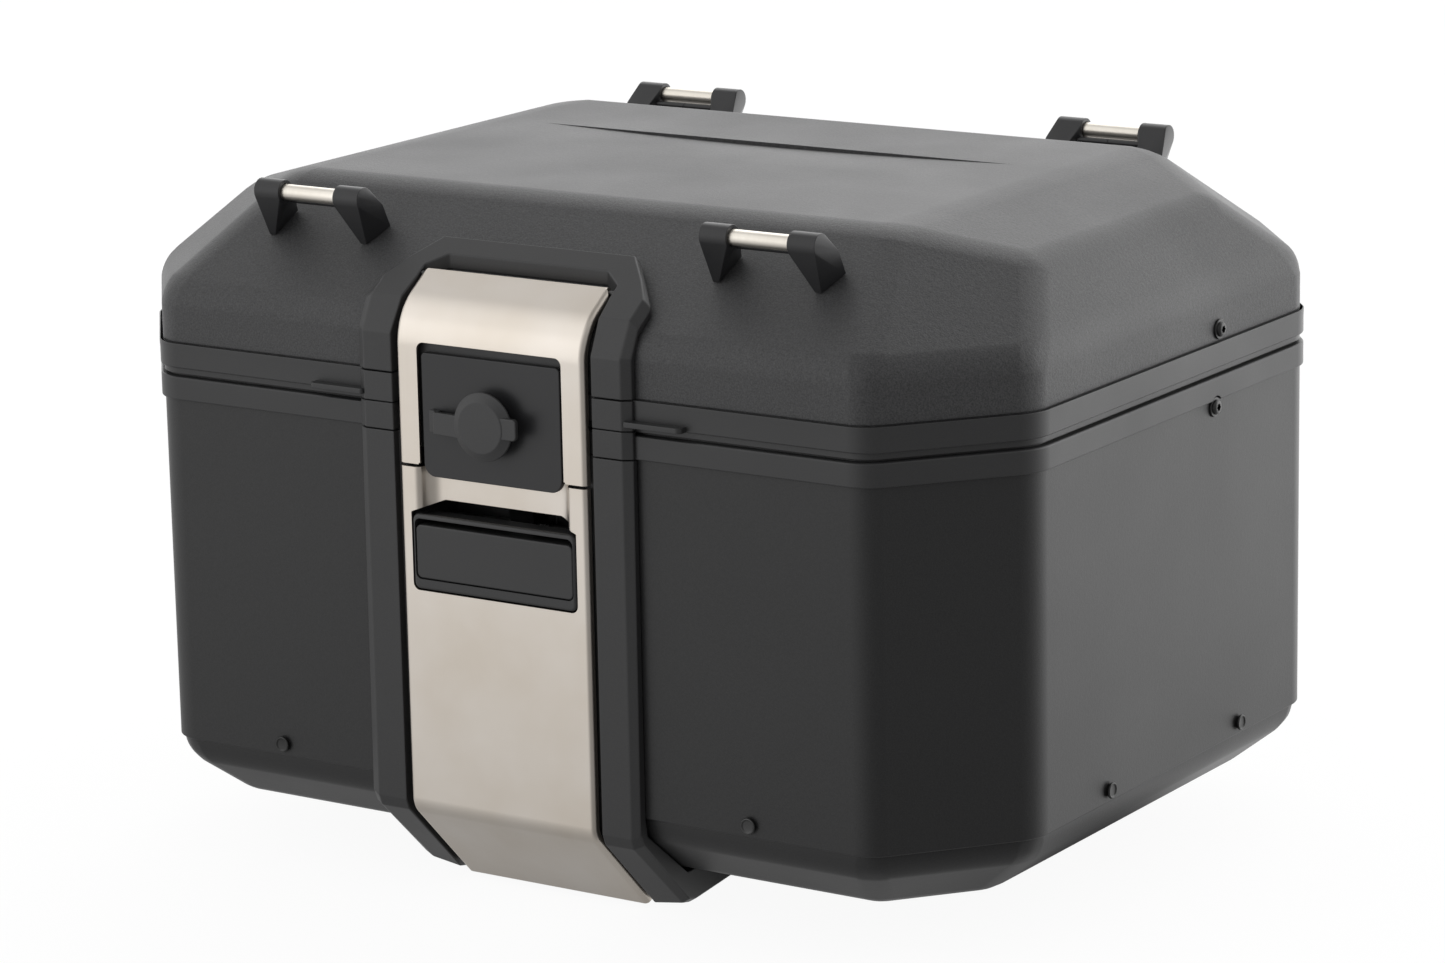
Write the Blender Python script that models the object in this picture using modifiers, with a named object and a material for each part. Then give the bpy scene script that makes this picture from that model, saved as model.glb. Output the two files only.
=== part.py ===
"""Hard motorcycle top case with a hinged lid, a front latch flap, a key lock and lashing eyes.

Lengths below are in millimetres and angles in degrees; MM turns them into metres.
X is right, the latch faces -Y, Z is up, and the feet stand on Z = 0.
"""
import math

import bmesh
import bpy
from mathutils import Matrix, Vector

MM = 0.001
GAP = 0.3                      # running gap between neighbouring pieces

# Plan outline: a rectangle with chamfered corners, measured over the rim bands
HALF_WIDTH = 225.0
HALF_DEPTH = 175.0
CHAMFER_X = 46.9
CHAMFER_Y = 57.2
CORNER_REACH = 8.0             # how far a rounded corner runs along each face, at the wall
CORNER_STEPS = 3

# Heights
WALL_LOW = 52.6
WALL_TOP = 214.2
BODY_BAND = (205.8, 216.0)
LID_BAND = (219.8, 230.6)
PARTING = 217.75
CREASE_Z = 253.7               # where the lid's wall turns into its slopes
SIDE_CREASE_Z = 284.6
LID_TOP = 298.3
PAN_FOLD_Z = 45.0
PAN_LOW = 22.0

# Insets from the rim bands' outer face
WALL_INSET = 1.5
WALL_THICKNESS = 1.5
LID_THICKNESS = 2.0
PAN_INSET = WALL_INSET + WALL_THICKNESS + GAP
PAN_THICKNESS = 2.5
PAN_FOOT_INSET = 32.0

# Lid facets
TOP_HALF = (151.7, 109.3)
SIDE_CREASE = (200.6, 77.0)
WALL_FRONT = -(HALF_DEPTH - WALL_INSET)
WALL_SIDE = HALF_WIDTH - WALL_INSET
SLOPE = (LID_TOP - CREASE_Z) / (-WALL_FRONT - TOP_HALF[1])
SLOPE_ANGLE = math.atan(SLOPE)

# Latch column down the front
COLUMN_FOOT = 69.0             # half width where the surround meets the wall
COLUMN_FRONT = 65.0            # half width of its front face
COLUMN_INNER = 50.5            # half width of the channel between its legs
COLUMN_FACE = -179.0           # y of its front face
PLATE_HALF = 47.5              # half width of both metal plates
PLATE_FACE = -180.0
SHEET = 1.5
PLATE_SPLIT = 192.5            # height of the joint between the two plates
PLATE_RISE = 6.3               # the flap's outer face over the lid's slope
FLAP_BEND_RADIUS = 14.0
FLAP_END_Y = -158.2
FLAP_CUT = (36.5, 244.0)       # half width and top of the opening round the lock plate
FLAP_AXIS = (-157.5, 269.5)
LATCH_WINDOW = (44.0, 133.0)   # half width and floor of the opening behind the latch
LOCK_NOTCH = 18.5              # half width of the lid's opening for the lock cylinder
LOCK_PLATE = (35.0, 188.3, 241.0)
LOCK_Z = 213.0
CORE_RADIUS = 8.0
CAP_RADIUS = 14.5
CAP_FACE_RADIUS = 10.5
CAP_HINGE = (-30.0, -181.1)
SCOOP = (36.3, 177.2, 188.0)   # half width, floor and top of the finger scoop
SCOOP_BACK = -172.4            # y of the scoop's back panel
BEZEL = (41.4, 139.2, 171.8)
BUTTON = (39.9, 144.0, 167.2)
BUTTON_FACE = -180.2
CATCH_AXIS = (-155.0, 166.0)

# Hinges, lashing eyes, fasteners and feet
HINGE_AXIS = (183.5, 218.0)
HINGE_X = 110.0
HINGE_HALF = 25.0
KNUCKLE_HALF = 10.0
KNUCKLE_RADIUS = 4.3
HINGE_PIN_RADIUS = 2.0
EYE_X = 114.0
EYE_Y = 146.5
EYE_Z = 295.7
ROD_RADIUS = 3.4
RIVET_Z = 58.0
RIVET_X = 120.0
RIVET_Y = 58.0
LID_SCREW = (38.0, 236.0)
BODY_SCREW = (34.0, 203.0)
FOOT_AT = (110.0, 48.0)
PLATE_BASE = (90.0, 90.0, 3.0)

COLLECTION = "top_case"

# name: base colour, metallic, roughness
FINISHES = {
    "powder_black": ((0.045, 0.045, 0.047), 0.3, 0.45),
    "lid_black": ((0.05, 0.05, 0.052), 0.0, 0.6),
    "plastic_black": ((0.05, 0.051, 0.053), 0.0, 0.5),
    "champagne_metal": ((0.68, 0.63, 0.57), 1.0, 0.3),
    "steel": ((0.62, 0.6, 0.58), 1.0, 0.3),
    "rubber_black": ((0.03, 0.03, 0.03), 0.0, 0.8),
    "webbing": ((0.04, 0.04, 0.045), 0.0, 0.9),
    "seal_rubber": ((0.02, 0.02, 0.02), 0.0, 0.7),
}


# ---------------------------------------------------------------- scene helpers

def clear_scene():
    """Remove every object that the new file starts with."""
    for obj in list(bpy.data.objects):
        bpy.data.objects.remove(obj, do_unlink=True)


def new_collection(name):
    """Make a collection under the scene."""
    group = bpy.data.collections.new(name)
    bpy.context.scene.collection.children.link(group)
    return group


def make_materials():
    """One Principled material for each finish."""
    made = {}
    for name, (colour, metallic, roughness) in FINISHES.items():
        material = bpy.data.materials.new(name)
        material.use_nodes = True
        shader = material.node_tree.nodes["Principled BSDF"]
        shader.inputs["Base Color"].default_value = (*colour, 1.0)
        shader.inputs["Metallic"].default_value = metallic
        shader.inputs["Roughness"].default_value = roughness
        made[name] = material
    return made


def place(bm, name, finish, pivot=(0, 0, 0), smooth=False):
    """Turn a bmesh in millimetres into an object in metres with its origin at pivot."""
    bmesh.ops.recalc_face_normals(bm, faces=bm.faces)
    bmesh.ops.translate(bm, verts=bm.verts, vec=-Vector(pivot))
    bmesh.ops.scale(bm, verts=bm.verts, vec=(MM, MM, MM))
    mesh = bpy.data.meshes.new(name)
    bm.to_mesh(mesh)
    bm.free()
    obj = bpy.data.objects.new(name, mesh)
    obj.location = Vector(pivot) * MM
    if finish is None:
        obj.display_type = "WIRE"
        obj.hide_render = True
        CUTTERS.objects.link(obj)
    else:
        mesh.materials.append(MATERIALS[finish])
        PARTS.objects.link(obj)
    if smooth:
        mesh.shade_smooth()
        mesh.set_sharp_from_angle(angle=math.radians(35))
    return obj


def boolean(obj, other, operation):
    """Cut obj with other, or join other to it."""
    modifier = obj.modifiers.new(other.name, "BOOLEAN")
    modifier.operation = operation
    modifier.solver = "EXACT"
    modifier.object = other
    return obj


def cut(obj, *cutters):
    """Cut obj with each cutter."""
    for cutter in cutters:
        boolean(obj, cutter, "DIFFERENCE")
    return obj


def join(obj, *additions):
    """Join each addition to obj."""
    for addition in additions:
        boolean(obj, addition, "UNION")
    return obj


def bevel(obj, width, segments=2, angle=30.0):
    """Round the edges sharper than angle."""
    modifier = obj.modifiers.new("round", "BEVEL")
    modifier.width = width * MM
    modifier.segments = segments
    modifier.limit_method = "ANGLE"
    modifier.angle_limit = math.radians(angle)
    return obj


# ---------------------------------------------------------------- shape helpers

def box(name, finish, low, high, pivot=(0, 0, 0)):
    """Box between two corners."""
    bm = bmesh.new()
    bmesh.ops.create_cube(bm, size=1.0)
    size = Vector(high) - Vector(low)
    centre = (Vector(high) + Vector(low)) / 2
    bmesh.ops.scale(bm, verts=bm.verts, vec=size)
    bmesh.ops.translate(bm, verts=bm.verts, vec=centre)
    return place(bm, name, finish, pivot)


def rod(name, finish, start, end, radius, segments=20, pivot=(0, 0, 0)):
    """Solid cylinder between two points."""
    start, end = Vector(start), Vector(end)
    along = end - start
    bm = bmesh.new()
    bmesh.ops.create_cone(bm, cap_ends=True, segments=segments, radius1=radius,
                          radius2=radius, depth=along.length)
    turn = Vector((0, 0, 1)).rotation_difference(along).to_matrix().to_4x4()
    bmesh.ops.transform(bm, verts=bm.verts, matrix=Matrix.Translation((start + end) / 2) @ turn)
    return place(bm, name, finish, pivot, smooth=True)


def turned(name, finish, profile, centre, direction, segments=20):
    """Turn a profile of (radius, height) points, top to bottom, and face its top along direction."""
    bm = bmesh.new()
    points = [bm.verts.new((radius * MM, 0, height * MM)) for radius, height in profile]
    for upper, lower in zip(points, points[1:]):
        bm.edges.new((upper, lower))
    mesh = bpy.data.meshes.new(name)
    bm.to_mesh(mesh)
    bm.free()
    obj = bpy.data.objects.new(name, mesh)
    obj.location = Vector(centre) * MM
    obj.rotation_mode = "QUATERNION"
    obj.rotation_quaternion = Vector((0, 0, 1)).rotation_difference(Vector(direction))
    screw = obj.modifiers.new("turn", "SCREW")
    screw.steps = segments
    screw.render_steps = segments
    screw.use_merge_vertices = True
    screw.merge_threshold = 0.00001
    screw.use_smooth_shade = True
    mesh.materials.append(MATERIALS[finish])
    PARTS.objects.link(obj)
    return obj


def prism(name, finish, outline, axis, low, high, pivot=(0, 0, 0), smooth=False):
    """Extrude a flat outline along an axis; X takes (y, z) points and Z takes (x, y) points."""
    bm = bmesh.new()
    if axis == "X":
        corners = [(low, y, z) for y, z in outline]
        travel = (high - low, 0, 0)
    else:
        corners = [(x, y, low) for x, y in outline]
        travel = (0, 0, high - low)
    face = bm.faces.new([bm.verts.new(corner) for corner in corners])
    grown = bmesh.ops.extrude_face_region(bm, geom=[face], use_keep_orig=True)["geom"]
    moved = [item for item in grown if isinstance(item, bmesh.types.BMVert)]
    bmesh.ops.translate(bm, verts=moved, vec=travel)
    return place(bm, name, finish, pivot, smooth)


def loft(name, finish, stations, looped=False, pivot=(0, 0, 0), smooth=False):
    """Skin a list of like sections; the two ends are capped unless the sections form a loop."""
    bm = bmesh.new()
    rings = [[bm.verts.new(point) for point in station] for station in stations]
    pairs = list(zip(rings, rings[1:]))
    if looped:
        pairs.append((rings[-1], rings[0]))
    else:
        bm.faces.new(rings[0])
        bm.faces.new(rings[-1])
    for here, there in pairs:
        for index in range(len(here)):
            after = (index + 1) % len(here)
            bm.faces.new((here[index], here[after], there[after], there[index]))
    return place(bm, name, finish, pivot, smooth)


def octagon(inset):
    """Corners of the plan outline moved in by inset, anticlockwise from the front right."""
    half_width = HALF_WIDTH - inset
    half_depth = HALF_DEPTH - inset
    reach = CHAMFER_Y * HALF_WIDTH + CHAMFER_X * (HALF_DEPTH - CHAMFER_Y)
    reach -= inset * math.hypot(CHAMFER_X, CHAMFER_Y)
    x = (reach - CHAMFER_X * half_depth) / CHAMFER_Y
    y = (reach - CHAMFER_Y * half_width) / CHAMFER_X
    right = [(x, -half_depth), (half_width, -y), (half_width, y), (x, half_depth)]
    return right + [(-across, -along) for across, along in right]


def rounded_octagon(inset):
    """The same outline with its corners rounded about centres that all insets share."""
    corners = [Vector(corner) for corner in octagon(inset)]
    points = []
    for index, corner in enumerate(corners):
        back = (corners[index - 1] - corner).normalized()
        ahead = (corners[(index + 1) % len(corners)] - corner).normalized()
        half_turn = (math.pi - back.angle(ahead)) / 2
        radius = CORNER_REACH / math.tan(half_turn) + WALL_INSET - inset
        centre = corner + (back + ahead).normalized() * radius / math.cos(half_turn)
        first = corner + back * radius * math.tan(half_turn) - centre
        for step in range(CORNER_STEPS + 1):
            turn = Matrix.Rotation(2 * half_turn * step / CORNER_STEPS, 2)
            points.append(centre + turn @ first)
    return points


def ring(name, finish, section):
    """Sweep a closed section of (inset, z) points round the plan outline."""
    plans = [rounded_octagon(inset) for inset, _ in section]
    stations = []
    for corner in range(len(plans[0])):
        stations.append([(*plan[corner], z) for plan, (_, z) in zip(plans, section)])
    return loft(name, finish, stations, looped=True)


def slope_z(y, rise=0.0):
    """Height of the lid's front slope at y, raised by rise along the slope's normal."""
    return LID_TOP + SLOPE * (y + TOP_HALF[1]) + rise / math.cos(SLOPE_ANGLE)


def bent_sheet(path, thickness, radius, steps=4):
    """Outline of a bent sheet whose outer side follows path, with its one bend rounded."""
    start, corner, end = (Vector(point) for point in path)
    back = (start - corner).normalized()
    ahead = (end - corner).normalized()
    half_turn = (math.pi - back.angle(ahead)) / 2
    centre = corner + (back + ahead).normalized() * radius / math.cos(half_turn)
    first = corner + back * radius * math.tan(half_turn) - centre
    sense = 1 if back.x * ahead.y - back.y * ahead.x < 0 else -1
    inward = (first * -1).normalized() * thickness
    inward_end = None
    outer, inner = [start], [start + inward]
    for step in range(steps + 1):
        arm = Matrix.Rotation(sense * 2 * half_turn * step / steps, 2) @ first
        outer.append(centre + arm)
        inner.append(centre + arm * (radius - thickness) / radius)
        inward_end = -arm.normalized() * thickness
    outer.append(end)
    inner.append(end + inward_end)
    return outer + inner[::-1]


# ---------------------------------------------------------------- case body

def hole_cutters():
    """Cutters that several pieces share: the latch window and every fastener's hole."""
    half, floor = LATCH_WINDOW
    window = box("cut_latch_window", None, (-half, -186, floor), (half, -140, 226))
    rivets = []
    for sign in (-1, 1):
        for across in (-RIVET_X, RIVET_X):
            rivets.append(rod(f"cut_rivet_{len(rivets)}", None, (across, sign * 160, RIVET_Z),
                              (across, sign * 185, RIVET_Z), 2.0 + GAP, 12))
        for along in (-RIVET_Y, RIVET_Y):
            rivets.append(rod(f"cut_rivet_{len(rivets)}", None, (sign * 210, along, RIVET_Z),
                              (sign * 235, along, RIVET_Z), 2.0 + GAP, 12))
    screws = {}
    for part, (y, z) in (("lid", LID_SCREW), ("body", BODY_SCREW)):
        screws[part] = [rod(f"cut_{part}_screw_{sign}", None, (sign * 210, y, z),
                            (sign * 235, y, z), 2.5 + GAP, 16) for sign in (-1, 1)]
    return window, rivets, screws


def body_wall(window, rivets, screws):
    """Folded sheet wall, with the latch window and fastener holes."""
    inner = WALL_INSET + WALL_THICKNESS
    section = [(WALL_INSET, WALL_LOW), (WALL_INSET, WALL_TOP), (inner, WALL_TOP), (inner, WALL_LOW)]
    cut(ring("body_wall", "powder_black", section), window, *rivets, *screws)


def bottom_pan(rivets):
    """Tray that closes the bottom, tucked inside the wall's lower edge."""
    levels = [(PAN_INSET, RIVET_Z + 8), (PAN_INSET, PAN_FOLD_Z), (PAN_FOOT_INSET, PAN_LOW)]
    bm = bmesh.new()
    rings = [[bm.verts.new((*corner, z)) for corner in octagon(inset)] for inset, z in levels]
    for upper, lower in zip(rings, rings[1:]):
        for index in range(8):
            after = (index + 1) % 8
            bm.faces.new((upper[index], lower[index], lower[after], upper[after]))
    bm.faces.new(reversed(rings[-1]))
    pan = place(bm, "bottom_pan", "powder_black")
    bevel(pan, CORNER_REACH - 0.75, CORNER_STEPS, 15)
    thicken(pan, PAN_THICKNESS)
    cut(pan, *rivets)


def thicken(obj, thickness):
    """Give an open shell its thickness, inwards."""
    modifier = obj.modifiers.new("shell", "SOLIDIFY")
    modifier.thickness = thickness * MM
    modifier.offset = -1
    modifier.use_even_offset = True
    return obj


def column_pad(name, low, high):
    """Two short blocks that carry a rim band out over the latch column's legs."""
    pads = []
    for sign in (-1, 1):
        outline = [(COLUMN_INNER, -174.2), (COLUMN_INNER, COLUMN_FACE), (COLUMN_FRONT, COLUMN_FACE),
                   (COLUMN_FOOT, COLUMN_FACE + 2.5), (COLUMN_FOOT, -174.2)]
        mirrored = [(sign * x, y) for x, y in outline]
        pads.append(prism(f"{name}_{sign}", None, mirrored, "Z", low, high))
    return pads


def body_frame(window, screws):
    """Rim channel over the wall's top edge, with the inner sealing lip."""
    low, high = BODY_BAND
    groove = WALL_TOP + GAP
    section = [(0.0, low + 0.6), (0.4, low), (WALL_INSET - GAP, low), (WALL_INSET - GAP, groove),
               (PAN_INSET, groove), (PAN_INSET, 200.0), (5.3, 200.0), (5.3, 219.6),
               (3.6, 219.6), (3.6, high), (0.8, high), (0.0, high - 0.8)]
    frame = ring("body_frame", "plastic_black", section)
    join(frame, *column_pad("add_body_pad", low + 0.2, PARTING - GAP / 2))
    y, z = BODY_SCREW
    washers = [rod(f"cut_washer_{sign}", None, (sign * 222.9, y, z), (sign * 230, y, z), 5.4, 20)
               for sign in (-1, 1)]
    cut(frame, window, *screws, *washers)


def body_surround(window):
    """Channel down the front: two raised legs joined by a thin web, running under the pan."""
    path = [((-173.8, 205.6), (COLUMN_FACE, 205.6)),
            ((-173.8, 53.0), (COLUMN_FACE, 44.5)),
            ((-172.3, 45.0), (-177.3, 40.0)),
            ((-143.3, 21.6), (-142.0, 6.8)),
            ((-138.0, 21.6), (-137.0, 5.8)),
            ((-105.0, 21.6), (-105.0, 9.0))]
    stations = []
    for base, outer in path:
        base, outer = Vector(base), Vector(outer)
        height = (outer - base).length
        shoulder = outer + (base - outer) * 2.5 / height
        web = base + (outer - base) * 1.2 / height
        right = [(COLUMN_FOOT, base), (COLUMN_FOOT, shoulder), (COLUMN_FRONT, outer),
                 (COLUMN_INNER, outer), (COLUMN_INNER, web)]
        left = [(-x, at) for x, at in reversed(right)]
        stations.append([(x, *at) for x, at in right + left])
    cut(loft("body_surround", "plastic_black", stations), window)


def lower_latch_plate():
    """Metal plate below the flap, bent under the case, with its scoop and bezel opening."""
    path = [(PLATE_FACE, PLATE_SPLIT - GAP), (PLATE_FACE, 42.5), (-141.0, 3.0)]
    plate = prism("lower_latch_plate", "champagne_metal", bent_sheet(path, SHEET, 8.0), "X",
                  -PLATE_HALF, PLATE_HALF)
    half, floor, top = SCOOP
    opening = box("cut_scoop", None, (-half, -190, BEZEL[1] - GAP), (half, -170, 200))
    bezel_hole = box("cut_bezel_hole", None, (-BEZEL[0] - GAP, -190, BEZEL[1] - GAP),
                     (BEZEL[0] + GAP, -176, BEZEL[2] + GAP))
    cut(plate, opening, bezel_hole)
    panel = box("add_scoop_panel", None, (-half - 0.6, SCOOP_BACK, floor),
                (half + 0.6, SCOOP_BACK + SHEET, top))
    cheeks = [box(f"add_scoop_cheek_{sign}", None, (sign * (half + 0.7) - 0.75, PLATE_FACE + 0.2, floor),
                  (sign * (half + 0.7) + 0.75, SCOOP_BACK + SHEET, PLATE_SPLIT - 2 * GAP))
              for sign in (-1, 1)]
    join(plate, panel, *cheeks)


def latch_tray(window):
    """Open box behind the latch that keeps the inside of the case closed."""
    half, floor = LATCH_WINDOW
    half -= GAP
    floor += GAP
    tray = box("latch_tray", "plastic_black", (-half, -175.3, floor), (half, -146, 215.7))
    hollow = box("cut_tray", None, (2 - half, -180, floor + 2), (half - 2, -148, 230))
    cut(tray, hollow)


def button_parts():
    """Bezel, release button, and the catch lever with its pin and torsion spring."""
    half, low, high = BEZEL
    bezel = box("button_bezel", "plastic_black", (-half, -180.8, low), (half, -168, high))
    bevel(bezel, 0.8)
    b_half, b_low, b_high = BUTTON
    hole = box("cut_bezel", None, (-b_half - GAP, -190, b_low - GAP),
               (b_half + GAP, -160, b_high + 1.6))
    cut(bezel, hole)

    button = box("release_button", "plastic_black", (-b_half, BUTTON_FACE, b_low),
                 (b_half, -171, b_high))
    bevel(button, 1.0)
    join(button, rod("add_plunger", None, (0, -172, 153.5), (0, -160.3, 153.5), 2.5, 16))

    y, z = CATCH_AXIS
    arm = [(y - 4, z + 2), (y - 7, z + 17), (y - 4, z + 19), (y - 1, z + 19), (y + 3, z + 3),
           (y + 2.5, z - 3), (y + 0.5, z - 16), (y - 3, z - 16), (y - 4, z - 3)]
    lever = prism("catch_lever", "steel", arm, "X", -6, 6, pivot=(0, y, z))
    cut(lever, rod("cut_catch_pin", None, (-20, y, z), (20, y, z), 1.5 + GAP, 16))
    rod("catch_pin", "steel", (-41.4, y, z), (41.4, y, z), 1.5, 16)
    catch_spring(y, z)


def catch_spring(y, z):
    """Torsion spring round the catch pin, beside the lever."""
    turns, radius, wire, per_turn = 4, 3.0, 0.45, 10
    curve = bpy.data.curves.new("catch_spring", "CURVE")
    curve.dimensions = "3D"
    curve.bevel_depth = wire * MM
    curve.bevel_resolution = 1
    curve.use_fill_caps = True
    points = []
    for step in range(turns * per_turn + 1):
        angle = 2 * math.pi * step / per_turn
        points.append((8 + 1.2 * step / per_turn, radius * math.cos(angle), radius * math.sin(angle)))
    points.insert(0, (8, radius, -10))
    points.append((8 + 1.2 * turns, radius, 10))
    spline = curve.splines.new("POLY")
    spline.points.add(len(points) - 1)
    for point, (across, along, up) in zip(spline.points, points):
        point.co = (across * MM, along * MM, up * MM, 1)
    obj = bpy.data.objects.new("catch_spring", curve)
    obj.location = Vector((0, y, z)) * MM
    curve.materials.append(MATERIALS["steel"])
    PARTS.objects.link(obj)


def rivets_and_screws():
    """Blind rivets round the bottom, and the washer-headed screws of the check straps."""
    wall = WALL_SIDE
    rivet = [(0, 0.9), (2.4, 0.9), (2.6, 1.5), (3.6, 1.5), (4.3, 0.9), (4.3, 0.3), (2.0, 0.3),
             (2.0, -4.8), (3.2, -4.8), (3.2, -6.2), (0, -6.2)]
    count = 0
    for sign, side in ((-1, "front"), (1, "rear")):
        for across in (-RIVET_X, RIVET_X):
            count += 1
            turned(f"rivet_{side}_{count}", "powder_black", rivet,
                   (across, sign * -WALL_FRONT, RIVET_Z), (0, sign, 0), 14)
    for sign, side in ((-1, "left"), (1, "right")):
        for along in (-RIVET_Y, RIVET_Y):
            count += 1
            turned(f"rivet_{side}_{count}", "powder_black", rivet,
                   (sign * wall, along, RIVET_Z), (sign, 0, 0), 14)
    screw = [(0, 1.8), (1.7, 1.8), (2.0, 3.3), (3.2, 3.3), (4.0, 2.4), (4.1, 1.4), (5.0, 1.4),
             (5.0, 0.3), (2.5, 0.3), (2.5, -7.2), (0, -7.2)]
    for part, (y, z) in (("lid", LID_SCREW), ("body", BODY_SCREW)):
        for sign, side in ((-1, "left"), (1, "right")):
            turned(f"{part}_strap_screw_{side}", "steel", screw, (sign * wall, y, z),
                   (sign, 0, 0), 18)


def check_straps():
    """Webbing straps that stop the lid, folded flat inside the side walls."""
    for sign, side in ((-1, "left"), (1, "right")):
        x = sign * 213.8
        low = (min(x, x + sign * 2.2), 26, 150)
        high = (max(x, x + sign * 2.2), 46, 242)
        bevel(box(f"check_strap_{side}", "webbing", low, high), 0.6)


def underside():
    """Base plate in the middle of the pan, and the rubber feet at both sides of it."""
    half_x, half_y, thickness = PLATE_BASE
    top = PAN_LOW - GAP
    bevel(box("base_plate", "steel", (-half_x, -half_y, top - thickness),
              (half_x, half_y, top)), 1.0)
    foot_top = top
    profile = [(0, foot_top), (15, foot_top), (16, foot_top - 2), (14, 1.5), (12.5, 0), (5, 0),
               (4, 4), (0, 4)]
    for x, x_name in ((-FOOT_AT[0], "left"), (FOOT_AT[0], "right")):
        for y, y_name in ((-FOOT_AT[1], "front"), (FOOT_AT[1], "rear")):
            turned(f"foot_{y_name}_{x_name}", "rubber_black", profile, (x, y, 0), (0, 0, 1), 24)


# ---------------------------------------------------------------- hinges

def hinges():
    """Two rear hinges: a leaf on the body, a leaf on the lid, and a pin."""
    y, z = HINGE_AXIS
    for sign, side in ((-1, "left"), (1, "right")):
        centre = sign * HINGE_X
        low, high = centre - HINGE_HALF, centre + HINGE_HALF
        mid_low, mid_high = centre - KNUCKLE_HALF, centre + KNUCKLE_HALF
        pin_hole = rod(f"cut_hinge_pin_{side}", None, (low - 5, y, z), (high + 5, y, z),
                       HINGE_PIN_RADIUS + GAP, 20)

        body_leaf = box(f"body_hinge_leaf_{side}", "powder_black", (low, 175.3, 190),
                        (high, 177.5, 213), pivot=(0, y, z))
        bridge = box(f"add_body_bridge_{side}", None, (low, 175.3, 211), (high, 182.5, 216.5))
        barrel = rod(f"add_body_knuckle_{side}", None, (low, y, z), (high, y, z), KNUCKLE_RADIUS, 20)
        middle = box(f"cut_body_middle_{side}", None, (mid_low - GAP, 170, 210),
                     (mid_high + GAP, 190, 230))
        join(body_leaf, bridge, barrel)
        cut(body_leaf, middle, pin_hole)

        lid_leaf = box(f"lid_hinge_leaf_{side}", "powder_black", (low, 175.3, 223),
                       (high, 177.5, 246), pivot=(0, y, z))
        lid_bridge = box(f"add_lid_bridge_{side}", None, (mid_low, 175.3, 219.4),
                         (mid_high, 182.5, 225))
        lid_barrel = rod(f"add_lid_knuckle_{side}", None, (mid_low, y, z), (mid_high, y, z),
                         KNUCKLE_RADIUS, 20)
        join(lid_leaf, lid_bridge, lid_barrel)
        cut(lid_leaf, pin_hole)
        rod(f"hinge_pin_{side}", "steel", (low - 0.8, y, z), (high + 0.8, y, z),
            HINGE_PIN_RADIUS, 20)


# ---------------------------------------------------------------- lid

def lid_cage():
    """Flat-faced outer skin of the lid: walls, slopes, corner facets and top."""
    bm = bmesh.new()
    rim = [bm.verts.new((*corner, LID_BAND[0] + 3.7)) for corner in octagon(WALL_INSET)]
    crease = [bm.verts.new((*corner, CREASE_Z)) for corner in octagon(WALL_INSET)]
    top_x, top_y = TOP_HALF
    side_x, side_y = SIDE_CREASE
    top, side = {}, {}
    for across in (1, -1):
        for along in (-1, 1):
            top[across, along] = bm.verts.new((across * top_x, along * top_y, LID_TOP))
            side[across, along] = bm.verts.new((across * side_x, along * side_y, SIDE_CREASE_Z))
    for index in range(8):
        after = (index + 1) % 8
        bm.faces.new((rim[index], rim[after], crease[after], crease[index]))
    bm.faces.new((crease[7], crease[0], top[1, -1], top[-1, -1]))
    bm.faces.new((crease[3], crease[4], top[-1, 1], top[1, 1]))
    for across, low, high in ((1, 1, 2), (-1, 6, 5)):
        front, rear = (across, -1), (across, 1)
        bm.faces.new((crease[low], crease[high], side[rear], side[front]))
        bm.faces.new((side[front], side[rear], top[rear], top[front]))
    for first, second, key in ((0, 1, (1, -1)), (2, 3, (1, 1)), (4, 5, (-1, 1)), (6, 7, (-1, -1))):
        near_side = second if first in (0, 4) else first
        near_end = first if first in (0, 4) else second
        bm.faces.new((crease[near_end], crease[near_side], side[key], top[key]))
    bm.faces.new((top[1, -1], top[1, 1], top[-1, 1], top[-1, -1]))
    return bm


def lid_shell(notch, screws):
    """Moulded lid shell."""
    shell = place(lid_cage(), "lid_shell", "lid_black")
    bevel(shell, CORNER_REACH, CORNER_STEPS, 8)
    thicken(shell, LID_THICKNESS)
    cut(shell, notch, *screws)


def lid_frame(notch, screws):
    """Rim channel round the lid's lower edge, with pads over the column and two lifting tabs."""
    low, high = LID_BAND
    groove = low + 3.4
    section = [(0.4, low), (2.6, low), (2.6, low + 2.2), (7.5, low + 2.2), (7.5, groove + 0.4),
               (5.8, groove + 0.4), (5.8, 236.0), (3.8, 236.0), (3.8, groove),
               (WALL_INSET - GAP, groove), (WALL_INSET - GAP, high), (0.6, high),
               (0.0, high - 0.8), (0.0, low + 0.6)]
    frame = ring("lid_frame", "plastic_black", section)
    pads = column_pad("add_lid_pad", PARTING + GAP / 2, high - 0.2)
    tabs = [box(f"add_tab_{sign}", None, (min(sign * 66, sign * 94), -179.8, low + 0.1),
                (max(sign * 66, sign * 94), -174.2, low + 2.5)) for sign in (-1, 1)]
    join(frame, *pads, *tabs)
    cut(frame, notch, *screws)


def lid_seal(notch):
    """Rubber seal under the lid frame, over the body's lip."""
    low = LID_BAND[0] + 0.1
    section = [(2.9, low + 1.8), (2.9, low), (7.2, low), (7.2, low + 1.8)]
    cut(ring("lid_seal", "seal_rubber", section), notch)


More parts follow.
